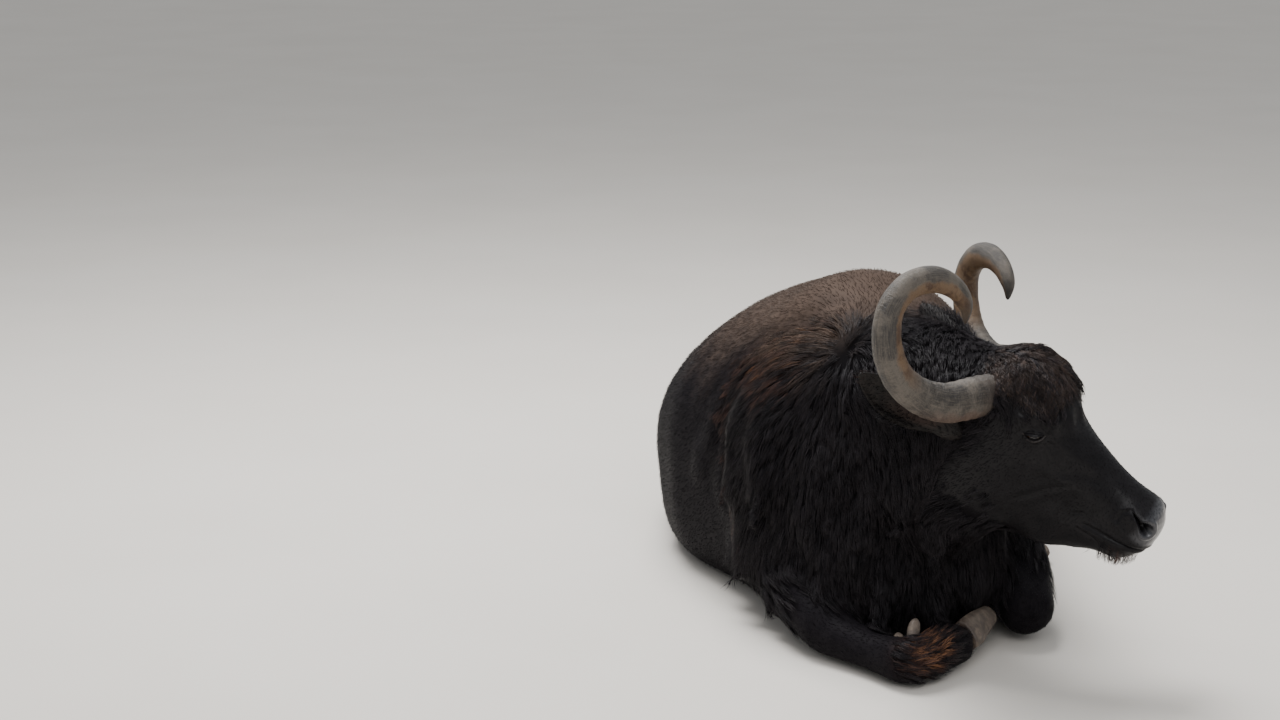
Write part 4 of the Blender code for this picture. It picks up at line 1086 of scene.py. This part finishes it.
class Ground:
    """A skin that hair can grow on: its triangles, directions and places in the bake map."""

    def __init__(self, piece):
        mesh = piece.data
        mesh.calc_loop_triangles()
        count = len(mesh.loop_triangles)
        corners, loops = np.empty(count * 3, np.int32), np.empty(count * 3, np.int32)
        mesh.loop_triangles.foreach_get("vertices", corners)
        mesh.loop_triangles.foreach_get("loops", loops)
        flat = np.empty(len(mesh.loops) * 2, np.float32)
        mesh.uv_layers["OFBake"].data.foreach_get("uv", flat)
        self.corners = corners.reshape(-1, 3)
        self.spread = flat.reshape(-1, 2)[loops.reshape(-1, 3)]
        self.points, self.outward = points_of(mesh), normals_of(mesh)
        self.tree = BVHTree.FromPolygons(self.points.tolist(), self.corners.tolist())
        a, b, c = (self.points[self.corners[:, k]] for k in range(3))
        self.area = np.linalg.norm(np.cross(b - a, c - a), axis=1) / 2

    def scatter(self, density, count, chance):
        """Places spread over the skin as a density on its places says, with a way to read values there."""
        weight = self.area * density[self.corners].mean(axis=1)
        steps = (np.arange(count) + chance.random(count)) / count * weight.sum()
        faces = np.minimum(np.searchsorted(np.cumsum(weight), steps), len(weight) - 1)
        first, second = np.sqrt(chance.random(count)), chance.random(count)
        shares = np.column_stack((1 - first, first * (1 - second), first * second))
        corners = self.corners[faces]

        def read(values):
            """The value of something kept on the skin at each place."""
            picked = values[corners]
            return (picked * (shares if picked.ndim == 2 else shares[:, :, None])).sum(axis=1)

        spot_in_map = (self.spread[faces] * shares[:, :, None]).sum(axis=1)
        return read, spot_in_map


ground = Ground(skin)
print("hairy ground", round(float(ground.area.sum()), 2), "square metres")

# %% [markdown]
# A tuft is a tapered strand with three sides: rings of three corners along a path, and a point. Tens of
# thousands are made at once with arrays of places, as no operator makes so many alike small things. Each
# keeps how far along it a place lies, a random tone, and the red and dust of its root, and its corners
# sit in the bake map at the root's place.

# %% Making tufts from paths
PATCH = 0.003
FLOOR_GAP = 0.0015
MOST_TRIANGLES = 190000
LONG_STEPS = 3


def strand_faces(rings):
    """Corners of the faces of one strand, round its sides, at its point and under its root."""
    faces = []
    for k in range(rings - 1):
        for c in range(3):
            low, high = k * 3, k * 3 + 3
            faces.append((low + c, low + (c + 1) % 3, high + (c + 1) % 3, high + c))
    last = rings * 3 - 3
    faces += [(last + c, last + (c + 1) % 3, rings * 3) for c in range(3)]
    return faces + [(0, 2, 1)]


def tuft_mesh(name, paths, outs, half, values, places_in_map):
    """One mesh of many strands, whose paths are rows of places from root to tip."""
    count, stations = paths.shape[:2]
    rings = stations - 1
    t = np.linspace(0, 1, stations)
    ahead = normal_of(np.gradient(paths, axis=1))
    across = normal_of(np.cross(outs, ahead))
    up = np.cross(ahead, across)
    wide = half[:, None] * (0.55 + 0.9 * t * (1 - t) * 2) * (1 - 0.55 * t ** 2)
    wide = wide[:, :rings, None]
    beside, over = across[:, :rings] * wide, up[:, :rings] * wide * 0.75
    body = np.stack((paths[:, :rings] + beside, paths[:, :rings] + over, paths[:, :rings] - beside), axis=2)
    corners = np.concatenate((body.reshape(count, rings * 3, 3), paths[:, -1:]), axis=1)
    corners[:, :, 2] = np.maximum(corners[:, :, 2], FLOOR_GAP)
    each = rings * 3 + 1
    faces = strand_faces(rings)
    loops = np.array([corner for face in faces for corner in face])
    sizes = np.array([len(face) for face in faces])
    starts = np.concatenate(([0], np.cumsum(sizes)[:-1]))
    strand = np.arange(count)[:, None]
    mesh = bpy.data.meshes.new(name)
    mesh.vertices.add(count * each)
    mesh.vertices.foreach_set("co", corners.astype(np.float32).ravel())
    mesh.loops.add(count * len(loops))
    mesh.loops.foreach_set("vertex_index", (strand * each + loops).astype(np.int32).ravel())
    mesh.polygons.add(count * len(faces))
    mesh.polygons.foreach_set("loop_start", (strand * len(loops) + starts).astype(np.int32).ravel())
    mesh.update(calc_edges=True)
    level = np.append(np.repeat(t[:rings], 3), 1.0)
    keep(mesh, "tip", np.tile(level, count))
    for label, value in values.items():
        keep(mesh, label, np.repeat(value, each))
    offset = np.column_stack((np.append(np.tile((1.0, 0.0, -1.0), rings), 0.0) * 0.4, level - 0.5)) * PATCH
    spread = np.clip(places_in_map[:, None] + offset, 0.0005, 0.9995)
    layer = mesh.uv_layers.new(name="OFBake")
    layer.data.foreach_set("uv", spread[:, loops].astype(np.float32).ravel())
    mesh.shade_smooth()
    return mesh


coat = []


def grow_pieces(name, paths, outs, half, values, places_in_map):
    """Splits many strands over pieces of a fair size and puts them in the scene."""
    rings = paths.shape[1] - 1
    most = MOST_TRIANGLES // (6 * rings - 2)
    parts = max(1, math.ceil(len(paths) / most))
    for number, rows in enumerate(np.array_split(np.arange(len(paths)), parts), 1):
        label = f"{name}_{number}" if parts > 1 else name
        mesh = tuft_mesh(label, paths[rows], outs[rows], half[rows],
                         {key: value[rows] for key, value in values.items()}, places_in_map[rows])
        piece = linked(label, mesh)
        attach(piece, "root")
        coat.append(piece)
    print(name, len(paths), "strands in", parts, "pieces")


print("a long strand has", 6 * LONG_STEPS - 2, "triangles")

# %% [markdown]
# Long hair is combed before it is drawn. A few thousand guides walk over the skin along the lie of the
# coat, sink under their own weight, and are pushed out wherever they would enter the skin. One stream of
# random numbers serves the whole coat, so every run grows the same hair.

# %% Combing guides
chance = np.random.default_rng(11)


def comb(surface, flow, roots, ways, outs, lengths, lift, cling, fall, steps):
    """Walks guides over a surface: rows of places and of outward directions."""
    paths, sides = [roots - outs * 0.002], [outs]
    place, way = roots, ways
    weight = np.array((0.0, 0.0, -1.0))
    for step in range(1, steps + 1):
        share = step / steps
        place = place + normal_of(way) * (lengths / steps)[:, None]
        found = [surface.tree.find_nearest(spot) for spot in place.tolist()]
        foot = np.array([hit[0] for hit in found])
        corners = surface.corners[[hit[2] for hit in found]]
        out = normal_of(surface.outward[corners].mean(axis=1))
        height = ((place - foot) * out).sum(axis=1)
        wanted = lift * share ** 0.8
        change = np.where(height < wanted, wanted - height, (wanted - height) * cling)
        place = place + out * change[:, None]
        place[:, 2] = np.maximum(place[:, 2], 0.004 + 0.004 * chance.random(len(place)))
        along = flow[corners].mean(axis=1) * (0.35 + 0.5 * cling) + normal_of(way) * 0.6
        along += weight * fall * share
        way = along - out * np.minimum((along * out).sum(axis=1), 0)[:, None]
        paths.append(place)
        sides.append(out)
    return np.stack(paths, axis=1), np.stack(sides, axis=1)


print("combing is ready")

# %% [markdown]
# Each guide becomes a lock of up to a dozen strands, which start apart, close towards the tip and wave a
# little. Some end before their guide does, so that a lock has a ragged tip. Growing a kind of long hair
# is then one call: sow the roots, comb the guides, fill the locks, and give every strand its tone, red
# and dust.

# %% Filling locks


def fill_locks(guides, sides, children, radius, gather, wave):
    """Many strands round each guide, gathered towards its tip."""
    count, stations = guides.shape[:2]
    t = np.linspace(0, 1, stations)
    ahead = normal_of(np.gradient(guides, axis=1))
    across = normal_of(np.cross(sides, ahead))
    size = (count, children, 1)
    spot = np.clip(t * chance.uniform(0.62, 1.0, size) * (stations - 1), 0, stations - 1.001)
    low = spot.astype(int)
    part = (spot - low)[..., None]
    rows = np.arange(count)[:, None, None]

    def pick(values):
        """Values between stations, for strands that end before their guide does."""
        return values[rows, low] * (1 - part) + values[rows, low + 1] * part

    spread = 1 - gather * t
    swing = wave * t * np.sin(math.tau * (t * chance.uniform(0.8, 1.6, size) + chance.random(size)))
    beside = chance.normal(0, 0.6, size) * radius * spread + swing
    above = chance.uniform(0.0, 1.0, size) * radius * 0.7 * spread * np.minimum(1, t * 4)
    along = chance.uniform(-1.2, 1.2, size) * radius * (1 - 0.5 * t)
    paths = pick(guides) + pick(across) * beside[..., None] + pick(sides) * above[..., None]
    paths += pick(ahead) * along[..., None]
    return paths.reshape(-1, stations, 3), normal_of(pick(sides)).reshape(-1, stations, 3)


skin_points, skin_outward = points_of(skin.data), normals_of(skin.data)
skin_spots, skin_places = skin_points - np.array(CHEST), along_head(skin_points)


def grow_locks(name, density, count, length, half, style, extra_way):
    """Long hair on the skin, with one length or one for each of its places."""
    children, radius, gather, wave, lift, cling, fall = style
    strands = count * children
    read, spots_in_map = ground.scatter(density, count, chance)
    roots, outs = read(skin_points), normal_of(read(skin_outward))
    ways = read(lie) + chance.normal(0, 0.11, (count, 3)) + extra_way
    lengths = read(np.broadcast_to(length, len(skin_points))) * chance.uniform(0.8, 1.15, count)
    guides, sides = comb(ground, lie, roots, ways, outs, lengths, lift, cling, fall, LONG_STEPS)
    paths, outs = fill_locks(guides, sides, children, radius, gather, wave)
    tone = np.repeat(chance.random(count), children) * 0.6 + chance.random(strands) * 0.4
    redness = np.repeat(read(red) * chance.uniform(0.1, 1.5, count), children)
    redness *= chance.uniform(0.6, 1.2, strands)
    dusting = np.repeat(read(dust) * chance.uniform(0.5, 1.5, count), children)
    grow_pieces(name, paths, outs, half * chance.uniform(0.7, 1.2, strands),
                {"tone": tone, "red": np.clip(redness, 0, 1), "dust": dusting},
                np.repeat(spots_in_map, children, axis=0))


print("locks are ready")

# %% [markdown]
# The shoulders, chest and neck carry the long coat, and the throat hangs lowest. Every kind of long hair
# has a mask over the skin that says how densely it grows. The masks are soft, so the long hair thins out
# over its edge instead of ending in a line.

# %% Where the long hair grows
COLLAR_RING = 40
skin_face = face_share(skin_places)
edge_gap = long_edge(skin_spots) - skin_spots[:, 1]
off_floor = smooth_step(skin_spots[:, 2], 0.012, 0.030)
trunk_skin = np.isin(owners, ("neck", "forequarters", "torso", "head"))
foot_skin = np.isin(owners, ("foreleg_right_foot", "foreleg_right_cannon",
                             "hindleg_left_foot", "hindleg_left_cannon"))
mop = mop_share(skin_places)
throat = (smooth_step(-skin_places[:, 2], 0.12, 0.17) * smooth_step(-skin_places[:, 0], -0.20, -0.12)
          * smooth_step(skin_places[:, 0], -0.16, -0.10) * np.isin(owners, ("neck", "head")))
elbow = np.isin(owners, ("foreleg_right_forearm", "foreleg_left_forearm"))
elbow = elbow * smooth_step(skin_spots[:, 1], 0.04, 0.14)
long_skin = smooth_step(edge_gap, -0.035, 0.01) * (1 - skin_face) * trunk_skin * (1 - mop) * off_floor
long_skin = np.maximum(long_skin, elbow)
around_whorl = smooth_step(skin_spots[:, 2], 0.48, 0.62) * smooth_step(skin_spots[:, 1], 0.02, 0.14)
length = 0.058 + 0.020 * around_whorl + 0.022 * smooth_step(-skin_spots[:, 2], -0.34, -0.20)
length *= 0.55 + 0.45 * smooth_step(edge_gap, -0.02, 0.06)
feather = (near(skin_spots, FEATHER_SPOTS, 0.045) > 0.2) * foot_skin * 1.0
coronet = near(skin_spots, CORONET_SPOTS, 0.028) * foot_skin
switch = (owners == "tail_switch") * 1.0
chin, chin_way = chin_share(skin_places), np.array(to_nose) * 0.3 - np.array(to_brow) * 0.9


def collar_of(side_name, side):
    """Where the collar round a horn's root grows, and the way that it follows the horn."""
    start = np.array(on_head(HORN_ROOT.x, HORN_ROOT.y * side, HORN_ROOT.z))
    ring = points_of(horns[side_name].data)[COLLAR_RING * HORN_SPOKES:(COLLAR_RING + 1) * HORN_SPOKES]
    axis = normal_of(ring.mean(axis=0) - start)
    gap = skin_points - start
    off_axis = np.linalg.norm(gap - (gap @ axis)[:, None] * axis, axis=1)
    mask = smooth_step(-off_axis, -0.066, -0.052) * (gap @ axis > -0.02) * np.isin(owners, ("head", "neck"))
    return mask, axis * 2.2


(collar_right, way_right), (collar_left, way_left) = (collar_of(*which) for which in SIDES)
print("places under long hair", int((long_skin > 0.5).sum()))

# %% [markdown]
# The kinds of long hair differ only in numbers, so they stand in one table and grow in its order. The
# coat lies close. The forelock between the horns is a mop of wavy locks, gathered to points, that falls
# over the brow. Collars hide where the horns leave the skin. Behind the fetlocks the hair is longer, and
# the tail ends in a tuft. The chin has a few stiff bristles that stand away from it.

# %% Long coat, forelock, collars, feathers and bristles
COLLAR_STYLE = (9, 0.0060, 0.60, 0.0030, 0.005, 0.50, 0.0)
LONG_HAIR = (
    # name, mask, locks, length, half a strand's width,
    # strands in a lock, radius, gather, wave, lift, cling, fall, and a pull of their own
    ("coat_long", long_skin, 3900, length, 0.00085, (12, 0.0085, 0.35, 0.0018, 0.0065, 0.90, 0.15), 0.0),
    ("coat_throat", throat, 240, 0.036, 0.0009, (10, 0.0090, 0.35, 0.0030, 0.008, 0.55, 0.4), 0.0),
    ("forelock", mop, 640, 0.056, 0.0013, (9, 0.0056, 0.92, 0.0110, 0.009, 0.65, 0.10), 0.0),
    ("horn_collar_right", collar_right, 70, 0.034, 0.0008, COLLAR_STYLE, way_right),
    ("horn_collar_left", collar_left, 70, 0.034, 0.0008, COLLAR_STYLE, way_left),
    ("fetlock_feather", feather, 170, 0.062, 0.0008, (10, 0.0070, 0.70, 0.0040, 0.010, 0.60, 0.30), 0.0),
    ("coronet_hair", coronet, 50, 0.026, 0.0006, (7, 0.0050, 0.50, 0.0030, 0.006, 0.60, 0.20), 0.0),
    ("tail_tuft", switch, 110, 0.085, 0.0011, (12, 0.0085, 0.55, 0.0040, 0.008, 0.55, 0.20), 0.0),
    ("chin_bristles", chin, 110, 0.030, 0.0004, (4, 0.0050, 0.10, 0.0020, 0.018, 0.0, 0.3), chin_way),
)
for name, mask, locks, reach, half, style, pull in LONG_HAIR:
    grow_locks(name, mask, locks, reach, half, style, pull)

# %% [markdown]
# Short fur lies almost flat, so bump on the skin does most of its work. Single short tufts break the
# outline and the highlights over the back, flanks, legs and cheeks, and are shortest on the face. They
# need no combing: each leans along the lie of the coat and curves down to it.

# %% Short coat


def grow_short(name, surface, flow, density, count, length, half, lean, marks):
    """Single short strands that lean along the lie of the coat."""
    read, spots_in_map = surface.scatter(density, count, chance)
    roots, outs = read(surface.points), normal_of(read(surface.outward))
    ways = normal_of(read(flow) + chance.normal(0, 0.20, (count, 3)))
    ways = normal_of(ways - outs * (ways * outs).sum(axis=1, keepdims=True))
    lengths = (read(length) * chance.uniform(0.7, 1.2, count))[:, None]
    tilt = (lean * chance.uniform(0.6, 1.4, count))[:, None]
    middle = roots + (ways * 0.5 + outs * tilt * 0.9) * lengths
    tip = roots + (ways + outs * tilt) * lengths
    paths = np.stack((roots - outs * 0.0015, middle, tip), axis=1)
    values = {"tone": chance.uniform(0.05, 0.50, count),
              "red": np.clip(read(marks[0]) * chance.uniform(0.4, 1.3, count), 0, 1),
              "dust": read(marks[1])}
    grow_pieces(name, paths, np.repeat(outs[:, None], 3, axis=1), read(half), values, spots_in_map)


bare = smooth_step(skin_places[:, 0], 0.415, 0.435) * smooth_step(skin_places[:, 2], -0.075, -0.060)
eyes = hill(skin_places, (0.112, 0.100, 0.036), (0.026, 0.03, 0.014)) > 0.5
bare = np.maximum(bare, eyes) * (owners == "head")
is_leg = np.char.find(owners, "leg") >= 0
short_skin = np.clip(1.0 - 0.85 * long_skin, 0, 1) * (1 - bare) * (1 - 0.8 * mop) * (1 - switch)
short_skin *= (1 + 1.6 * skin_face + 0.5 * is_leg) * off_floor
short_length = 0.024 - 0.010 * is_leg + 0.016 * smooth_step(edge_gap, -0.14, -0.02) * trunk_skin
cheek = smooth_step(-skin_places[:, 0], -0.16, 0.02)
short_length = short_length * (1 - skin_face) + (0.0065 + 0.011 * cheek) * skin_face
short_half = 0.00065 * (1 - skin_face) + 0.00045 * skin_face
SHORT_TUFTS, SHORT_LEAN = 46000, 0.09
grow_short("coat_short", ground, lie, short_skin, SHORT_TUFTS, short_length, short_half,
           SHORT_LEAN, (red, dust))

# %% [markdown]
# The ears have hair of their own: short on the back, and a longer fringe along the rim that bends
# towards the tip, with sparse reddish wisps in the cup. The ears are unwrapped for their own bake map,
# and their lie is the way from the root to the tip.

# %% Ear hair
EAR_TUFTS, EAR_HALF, EAR_LEAN = 2600, 0.0007, 0.25
for side_name, side in SIDES:
    unwrap(ears[side_name])
    ear_ground = Ground(ears[side_name])
    root, reach, along, opening, across = ear_frame(side)
    gap = ear_ground.points - np.array(root)
    beside, onward = gap @ np.array(across), gap @ np.array(along)
    fringe = smooth_step(abs(beside) / 0.055, 0.55, 0.95) * smooth_step(onward, 0.04, 0.10)
    cup = ear_ground.outward @ np.array(opening) > 0.3
    flow = np.tile(np.array(along), (len(gap), 1)) + np.array(across) * (np.sign(beside) * 0.35)[:, None]
    density = (1 + 1.5 * fringe) * np.where(cup, 0.35, 1.0)
    ear_red = 0.04 + 0.16 * cup + 0.4 * smooth_step(onward / reach, 0.82, 0.98)
    grow_short("ear_hair_" + side_name, ear_ground, flow, density, EAR_TUFTS,
               0.013 + 0.016 * fringe, np.full(len(gap), EAR_HALF), EAR_LEAN, (ear_red, np.zeros(len(gap))))
print("ears have hair")

# %% [markdown]
# Lashes grow from the upper lid in one row and droop over the slit. They are the same strands again, on
# paths of three places, and each has the place in the bake map of the skin that it is nearest to.

# %% Eyelashes
LASHES, LASH_HALF = 24, 0.0005
LASH_STATIONS = ((0.0, 0.0), (0.006, 0.001), (0.0125, 0.0015))
lash_roots, lash_outs = [], []
for side_name, side in SIDES:
    for across in np.linspace(-0.022, 0.024, LASHES):
        up = -0.0005 + 0.0060 * (across / SLIT_HALF) ** 2
        x = across * math.cos(SLIT_SLANT) + up * math.sin(SLIT_SLANT)
        z = -across * math.sin(SLIT_SLANT) + up * math.cos(SLIT_SLANT)
        depth = math.sqrt(max((EYE_RADIUS + 0.003) ** 2 - x * x - z * z, 1e-5))
        lash_roots.append(on_head(EYE_PLACE.x + x, (EYE_PLACE.y + depth) * side, EYE_PLACE.z + z))
        lash_outs.append(to_left * side)
lash_roots, lash_outs = np.array(lash_roots), np.array(lash_outs)
lash_way = normal_of(lash_outs * 0.8 - np.array(to_brow) * 0.75 + chance.normal(0, 0.16, lash_roots.shape))
lash_paths = np.stack([lash_roots + lash_way * reach - np.array((0, 0, drop))
                       for reach, drop in LASH_STATIONS], axis=1)
found = [ground.tree.find_nearest(spot)[2] for spot in lash_roots.tolist()]
blank = np.zeros(len(lash_roots))
grow_pieces("eyelashes", lash_paths, np.repeat(lash_outs[:, None], 3, axis=1), blank + LASH_HALF,
            {"tone": chance.random(len(lash_roots)) * 0.3, "red": blank, "dust": blank},
            ground.spread[found].mean(axis=1))
print("coat triangles", sum(len(piece.data.loop_triangles) for piece in coat))

# %% [markdown]
# Hair and hide share one recipe of colour, so the markings agree. Black hair is never quite black: its
# tone varies from strand to strand, tips are bleached browner, and the dusty back is grey-brown. Hide and
# hair hardly shine, as a coat swallows light between its strands. The hide adds what has no hair: the
# wet nose, whose colour is lifted to grey-blue as painted sheen, the paler rim of the lower lid, and
# painted shade, nearly black, inside the nostrils and the eye's slit.

# %% Hair materials
# each from the darkest strand to the palest
BLACK_HAIR = (0.0060, 0.0054, 0.0066), (0.0260, 0.0225, 0.0250)
RUSTY_HAIR = (0.027, 0.0145, 0.0120), (0.112, 0.062, 0.050)
DUSTY_HAIR = (0.050, 0.0350, 0.0275), (0.135, 0.094, 0.071)
STRAW_HAIR = (0.330, 0.155, 0.075)
LONG_GLOSS, SHORT_GLOSS = 0.10, 0.02


def fur_colour(g, tone, red_share, dust_share):
    """Black, red-brown and dusty hair in one recipe."""
    straw = g.mix(g.level(red_share, 0.88, 1.10), g.mix(tone, *RUSTY_HAIR), STRAW_HAIR)
    clean = g.mix(g.level(red_share, 0.0, 0.8), g.mix(tone, *BLACK_HAIR), straw)
    return g.mix(dust_share * 0.85, clean, g.mix(tone, *DUSTY_HAIR))


def hair_material(name, gloss):
    """Strands, paler towards their tips."""
    g = Graph(name, Specular_IOR_Level=gloss)
    strand, dusting, patch = g.read("tone"), g.read("dust"), g.noise(9.0, 3.0, 0.6) - 0.5
    tone = g.level(strand * 0.75 + g.read("tip") * 0.25 + patch * 0.5, 0.0, 1.0)
    base = fur_colour(g, tone, g.level(g.read("red") + patch * 0.25, 0.05, 1.0),
                      g.level(dusting + patch * 0.55, 0.12, 0.95))
    return g.feed(Base_Color=base, Roughness=0.30 + dusting * 0.25 + strand * 0.10)


long_hair, short_hair = hair_material("long_hair", LONG_GLOSS), hair_material("short_hair", SHORT_GLOSS)
for piece in coat:
    piece.data.materials.append(short_hair if piece.name.startswith("coat_short") else long_hair)
print("coat pieces", len(coat))

# %% [markdown]
# The hide shows through short hair and lies bare on the face. It has the same recipe of colour, held
# darker as painted shade in the gaps between hairs and darker still as painted shade under the long coat
# and the forelock. It has a bump combed along the body that stands for the fur between the tufts, and a
# web of fine pebbles on the nose. Only the nose and a little of the face have a wet coat over them.

# %% Hide material
HIDE_TONES = {
    # The tone under long hair is painted shade.
    "lid": (0.050, 0.042, 0.040), "under long hair": (0.0020, 0.0018, 0.0020),
    # The inside tone is painted shade in the nostrils and the eye's slit.
    "inside": (0.0015, 0.0012, 0.0012),
}
FACE_HIDE = (0.0036, 0.0033, 0.0038), (0.0110, 0.0100, 0.0108)
# The nose's colour is its own near-black lifted to grey-blue as painted sheen of the wet pad.
NOSE_HIDE_AND_PAINTED_SHEEN = (0.022, 0.022, 0.026), (0.040, 0.040, 0.046)
COMB_TURN = math.radians(-30)


def hide_material():
    """The skin under the coat, with bare wet parts on the face."""
    g = Graph("buffalo_hide", Specular_IOR_Level=SHORT_GLOSS, Coat_Roughness=0.30)
    face, wet = g.read("face"), g.read("nose")
    mottle = g.noise(28.0, 4.0, 0.6)
    fine = g.noise(420.0, 3.0, 0.7)
    tone = g.level(mottle * 0.5 + fine * 0.5, 0.25, 0.75)
    dusting = g.level(g.read("dust") + (mottle - 0.5) * 0.5, 0.12, 0.95)
    # Painted shade: the hide's tone is held low, for the shade in the gaps between hairs.
    base = fur_colour(g, tone * 0.4, g.read("red") * 0.5, dusting)
    base = g.mix(face * 0.85, base, g.mix(tone, *FACE_HIDE))
    # Painted shade: the hide is darker still under the long coat and the forelock.
    base = g.mix(g.read("under") * 0.6, base, HIDE_TONES["under long hair"])
    base = g.mix(g.read("lid"), base, HIDE_TONES["lid"])
    # Painted sheen: the wet nose takes the paler grey-blue colour.
    base = g.mix(wet, base, g.mix(tone, *NOSE_HIDE_AND_PAINTED_SHEEN))
    # Painted shade: the nostrils and the eye's slit are darkened nearly to black.
    base = g.mix(g.read("dark"), base, HIDE_TONES["inside"])
    pebbles = g.node("ShaderNodeTexVoronoi", {"feature": "DISTANCE_TO_EDGE"},
                     {"Vector": g.place(), "Scale": 260.0}, 0)
    combed = g.node("ShaderNodeMapping", {}, {"Vector": g.place(), "Rotation": (COMB_TURN, 0.0, 0.0),
                                              "Scale": (1.0, 1.0, 0.10)})
    hairs = g.noise(420.0, 3.0, 0.65, combed)
    height = hairs * 1.2 + mottle * 0.25 + g.level(pebbles, 0.0, 0.08) * wet * 0.9
    rough = 0.44 + fine * 0.15 - wet * 0.16 - face * 0.06
    return g.feed(Base_Color=base, Roughness=rough, Coat_Weight=wet * 0.80 + face * 0.20,
                  Normal=g.bump(height, 0.35, 0.0012))


nose = smooth_step(skin_places[:, 0], 0.396, 0.424) * smooth_step(skin_places[:, 2], -0.040, -0.022)
# The under share is painted shade beneath the long coat and the forelock.
for name, values in (("red", red), ("dust", dust), ("face", skin_face), ("under", np.maximum(long_skin, mop)),
                     ("nose", nose), ("lid", np.clip(rim_of_lids * 0.8, 0, 1)),
                     # dark is the painted shade inside the nostrils and the eye's slit.
                     ("dark", np.clip(np.maximum(nostril * 1.2, slit), 0, 1))):
    keep(skin.data, name, values)
skin.data.materials.clear()
skin.data.materials.append(hide_material())
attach(skin, "root")
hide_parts(*FLESH)
print("hide reads", [layer.name for layer in skin.data.attributes if layer.data_type == "FLOAT"])

# %% [markdown]
# The animal rests on a plain pale floor under soft light, as on an overcast day: an even sky, one wide
# panel above and a little behind that draws the back, the brow and the horns, and a weak one in front.

# %% Floor and light
FLOOR_HALF = 30.0
FLOOR_TONES = (0.62, 0.58, 0.53), (0.68, 0.64, 0.59)
SKY_TONE, SKY_STRENGTH = (0.94, 0.97, 1.0, 1.0), 0.62

bm = bmesh.new()
bmesh.ops.create_grid(bm, x_segments=1, y_segments=1, size=FLOOR_HALF)
floor_mesh = bpy.data.meshes.new("floor")
bm.to_mesh(floor_mesh)
bm.free()
floor = linked("floor", floor_mesh)
pale = Graph("pale_floor", Roughness=0.9)
floor.data.materials.append(pale.feed(Base_Color=pale.mix(pale.noise(1.5, 2.0), *FLOOR_TONES)))

sky = bpy.data.worlds.new("sky")
bpy.context.scene.world = sky
sky.use_nodes = True
sky.node_tree.nodes["Background"].inputs["Color"].default_value = SKY_TONE
sky.node_tree.nodes["Background"].inputs["Strength"].default_value = SKY_STRENGTH


def panel(name, place, aim, size, power):
    """A square of soft light turned towards a point."""
    data = bpy.data.lights.new(name, "AREA")
    data.size = size
    data.energy = power
    light = bpy.data.objects.new(name, data)
    light.location = place
    light.rotation_euler = (Vector(aim) - Vector(place)).to_track_quat("-Z", "Y").to_euler()
    bpy.context.scene.collection.objects.link(light)


panel("top_panel", place=(-1.0, 1.0, 4.6), aim=(0.0, -0.1, 0.4), size=2.6, power=420.0)
panel("front_panel", place=(-0.6, -4.2, 3.6), aim=(0.1, -0.3, 0.4), size=3.0, power=110.0)
print("lights ready")
